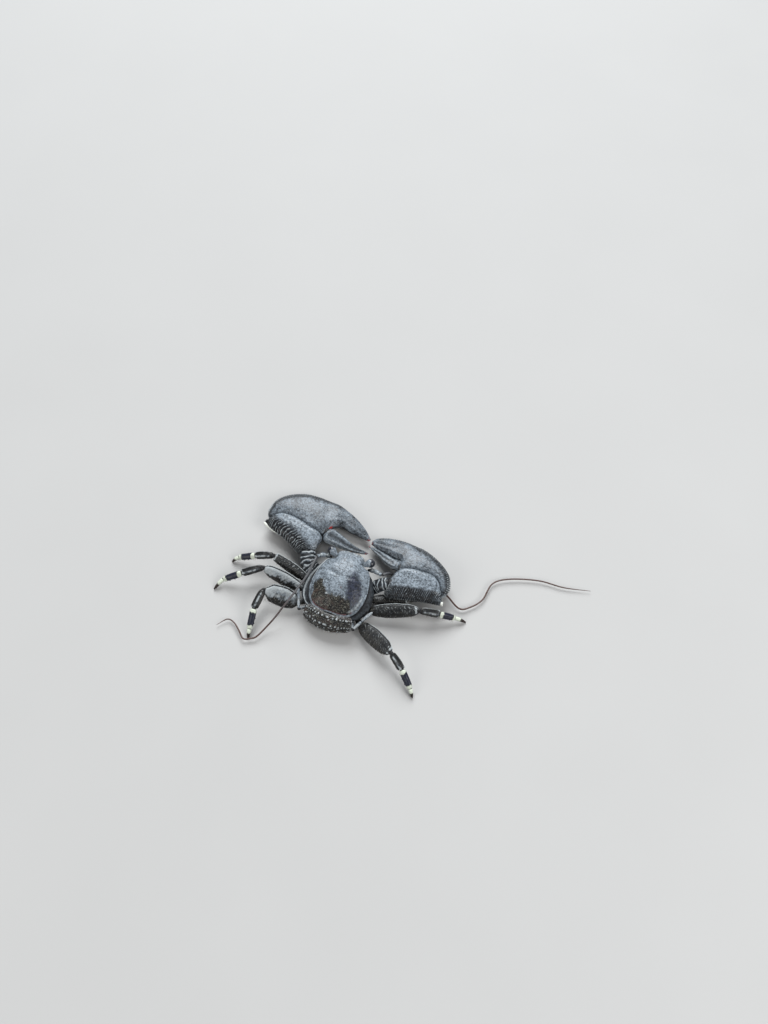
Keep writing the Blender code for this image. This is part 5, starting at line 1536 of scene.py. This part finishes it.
CAMERA_AZIMUTH = 20.0           # degrees, round from behind the crab towards its right side
CAMERA_ELEVATION = 64.0         # degrees above the floor
CAMERA_DEPTH = 146.0            # mm along the view to the crab
CAMERA_LENS = 27.0              # mm
PICTURE_HEIGHT = 36             # mm, inside the camera
PICTURE = (768, 1024)           # pixels
CRAB_AT = (341.3, 581.7)        # pixels across and down the picture to the middle of the carapace
CRAB_LEVEL = 4.2                # mm from the floor up to that place
LAMPS = (                       # name, place from the crab and size in millimetres, watts, tone
    ("key_light", (-300, 825, 750), 825, 17.2, (0.95, 0.98, 1.0)),
    ("side_light", (330, -60, 260), 240, 0.7, (1.0, 1.0, 1.0)),
    ("rear_light", (-220, -300, 240), 260, 0.45, (1.0, 0.98, 0.95)),
)
ROOM_TONE = (0.9, 0.94, 1.0, 1)
ROOM_STRENGTH = 0.24
FLOOR_TONES = ((0.52, 0.515, 0.505), (0.55, 0.545, 0.535))
FLOOR_HALF = 900 * MM           # from its middle to each side
FLOOR_LEVEL = -0.004 * MM       # just under the feet


def pale_floor(f, scene):
    """Matt pale floor with broad faint clouds."""
    cloud = f.clouds(30, 2, 0.5)
    return f.done(f.mix(cloud, *FLOOR_TONES), 0.75 + cloud * 0.05)


def facing(back):
    """Right and up of a thing that looks the way opposite to back."""
    right = unit(np.cross(UP, back))
    return right, np.cross(back, right)


def set_up(made, spot, back):
    """Puts a lamp or camera at a spot, looking the way opposite to back."""
    columns = zip(*facing(back), back)
    made.matrix_world = Matrix([(*row, at) for row, at in zip(columns, spot)] + [(0, 0, 0, 1)])
    bpy.context.scene.collection.objects.link(made)


class CRAB_OT_stage(bpy.types.Operator):
    """Set the pale floor, the soft lights and the camera"""
    bl_idname = "crab.stage"
    bl_label = "Floor, lights and camera"

    def execute(self, context):
        self.floor(context)
        for settings in LAMPS:
            self.lamp(*settings)
        world = context.scene.world or bpy.data.worlds.new("room")
        context.scene.world = world
        world.use_nodes = True
        shade = world.node_tree.nodes["Background"]
        shade.inputs["Color"].default_value = ROOM_TONE
        shade.inputs["Strength"].default_value = ROOM_STRENGTH
        context.scene.view_settings.view_transform = "Standard"
        self.camera(context)
        return {"FINISHED"}

    def floor(self, context):
        """One broad square under the feet."""
        corners = [(x * FLOOR_HALF, y * FLOOR_HALF, 0) for x, y in ((-1, -1), (1, -1), (1, 1), (-1, 1))]
        mesh = bpy.data.meshes.new("floor")
        mesh.from_pydata(corners, [], [(0, 1, 2, 3)])
        mesh.materials.append(finish(pale_floor, context))
        made = bpy.data.objects.new("floor", mesh)
        made.location = (HEART[0], HEART[1], FLOOR_LEVEL)
        context.scene.collection.objects.link(made)
        made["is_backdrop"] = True

    def lamp(self, name, place, size, power, tone):
        """A broad soft light that looks at the crab."""
        data = bpy.data.lights.new(name, "AREA")
        data.shape = "DISK"
        data.size = size * MM
        data.energy = power
        data.color = tone
        made = bpy.data.objects.new(name, data)
        made.visible_camera = False
        set_up(made, mm(*place), unit(np.array(place, float)))

    def camera(self, context):
        """The camera, at the photograph's angle and framing."""
        around, above = math.radians(CAMERA_AZIMUTH), math.radians(CAMERA_ELEVATION)
        flat = math.cos(above)
        back = np.array((math.sin(around) * flat, -math.cos(around) * flat, math.sin(above)))
        right, up = facing(back)
        pixel = CAMERA_DEPTH / (CAMERA_LENS / PICTURE_HEIGHT * PICTURE[1])      # mm at the crab
        shift = (CRAB_AT[0] - PICTURE[0] / 2) * right + (PICTURE[1] / 2 - CRAB_AT[1]) * up
        data = bpy.data.cameras.new("camera")
        data.sensor_fit = "VERTICAL"
        data.sensor_height = PICTURE_HEIGHT
        data.lens = CAMERA_LENS
        data.clip_start = 0.005
        data.clip_end = 10
        made = bpy.data.objects.new("camera", data)
        set_up(made, mm(0, 0, CRAB_LEVEL) + (back * CAMERA_DEPTH - shift * pixel) * MM, back)
        context.scene.camera = made


OPERATORS = (
    CRAB_OT_stage, CRAB_OT_carapace, CRAB_OT_abdomen, CRAB_OT_underside, CRAB_OT_eyes, CRAB_OT_feelers,
    CRAB_OT_chelipeds, CRAB_OT_walking_legs, CRAB_OT_small_legs, CRAB_OT_joint_skin, CRAB_OT_hairs,
)


class CRAB_PT_panel(bpy.types.Panel):
    """Lists the steps that build the crab, and its sizes and colours"""
    bl_idname = "CRAB_PT_panel"
    bl_label = "Porcelain crab"
    bl_space_type = "VIEW_3D"
    bl_region_type = "UI"
    bl_category = "Crab"

    def draw(self, context):
        for operator in OPERATORS:
            self.layout.operator(operator.bl_idname)
        for group in (context.scene.crab_sizes, context.scene.crab_colours):
            for key in group.__annotations__:
                self.layout.prop(group, key)


CLASSES = (CrabSizes, CrabColours, *OPERATORS, CRAB_PT_panel)


def register():
    for cls in CLASSES:
        bpy.utils.register_class(cls)
    bpy.types.Scene.crab_sizes = PointerProperty(type=CrabSizes)
    bpy.types.Scene.crab_colours = PointerProperty(type=CrabColours)


def unregister():
    del bpy.types.Scene.crab_colours
    del bpy.types.Scene.crab_sizes
    for cls in reversed(CLASSES):
        bpy.utils.unregister_class(cls)


def main():
    register()
    bpy.ops.crab.stage()
    bpy.ops.crab.carapace()
    bpy.ops.crab.abdomen()
    bpy.ops.crab.underside()
    bpy.ops.crab.eyes()
    bpy.ops.crab.feelers()
    bpy.ops.crab.chelipeds()
    bpy.ops.crab.walking_legs()
    bpy.ops.crab.small_legs()
    bpy.ops.crab.joint_skin()
    bpy.ops.crab.hairs()
    boxes = {"cad": CAD_BOX, "visual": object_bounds()}
    boxes = {name: [list(map(float, corner)) for corner in box] for name, box in boxes.items()}


if __name__ == "__main__":
    main()
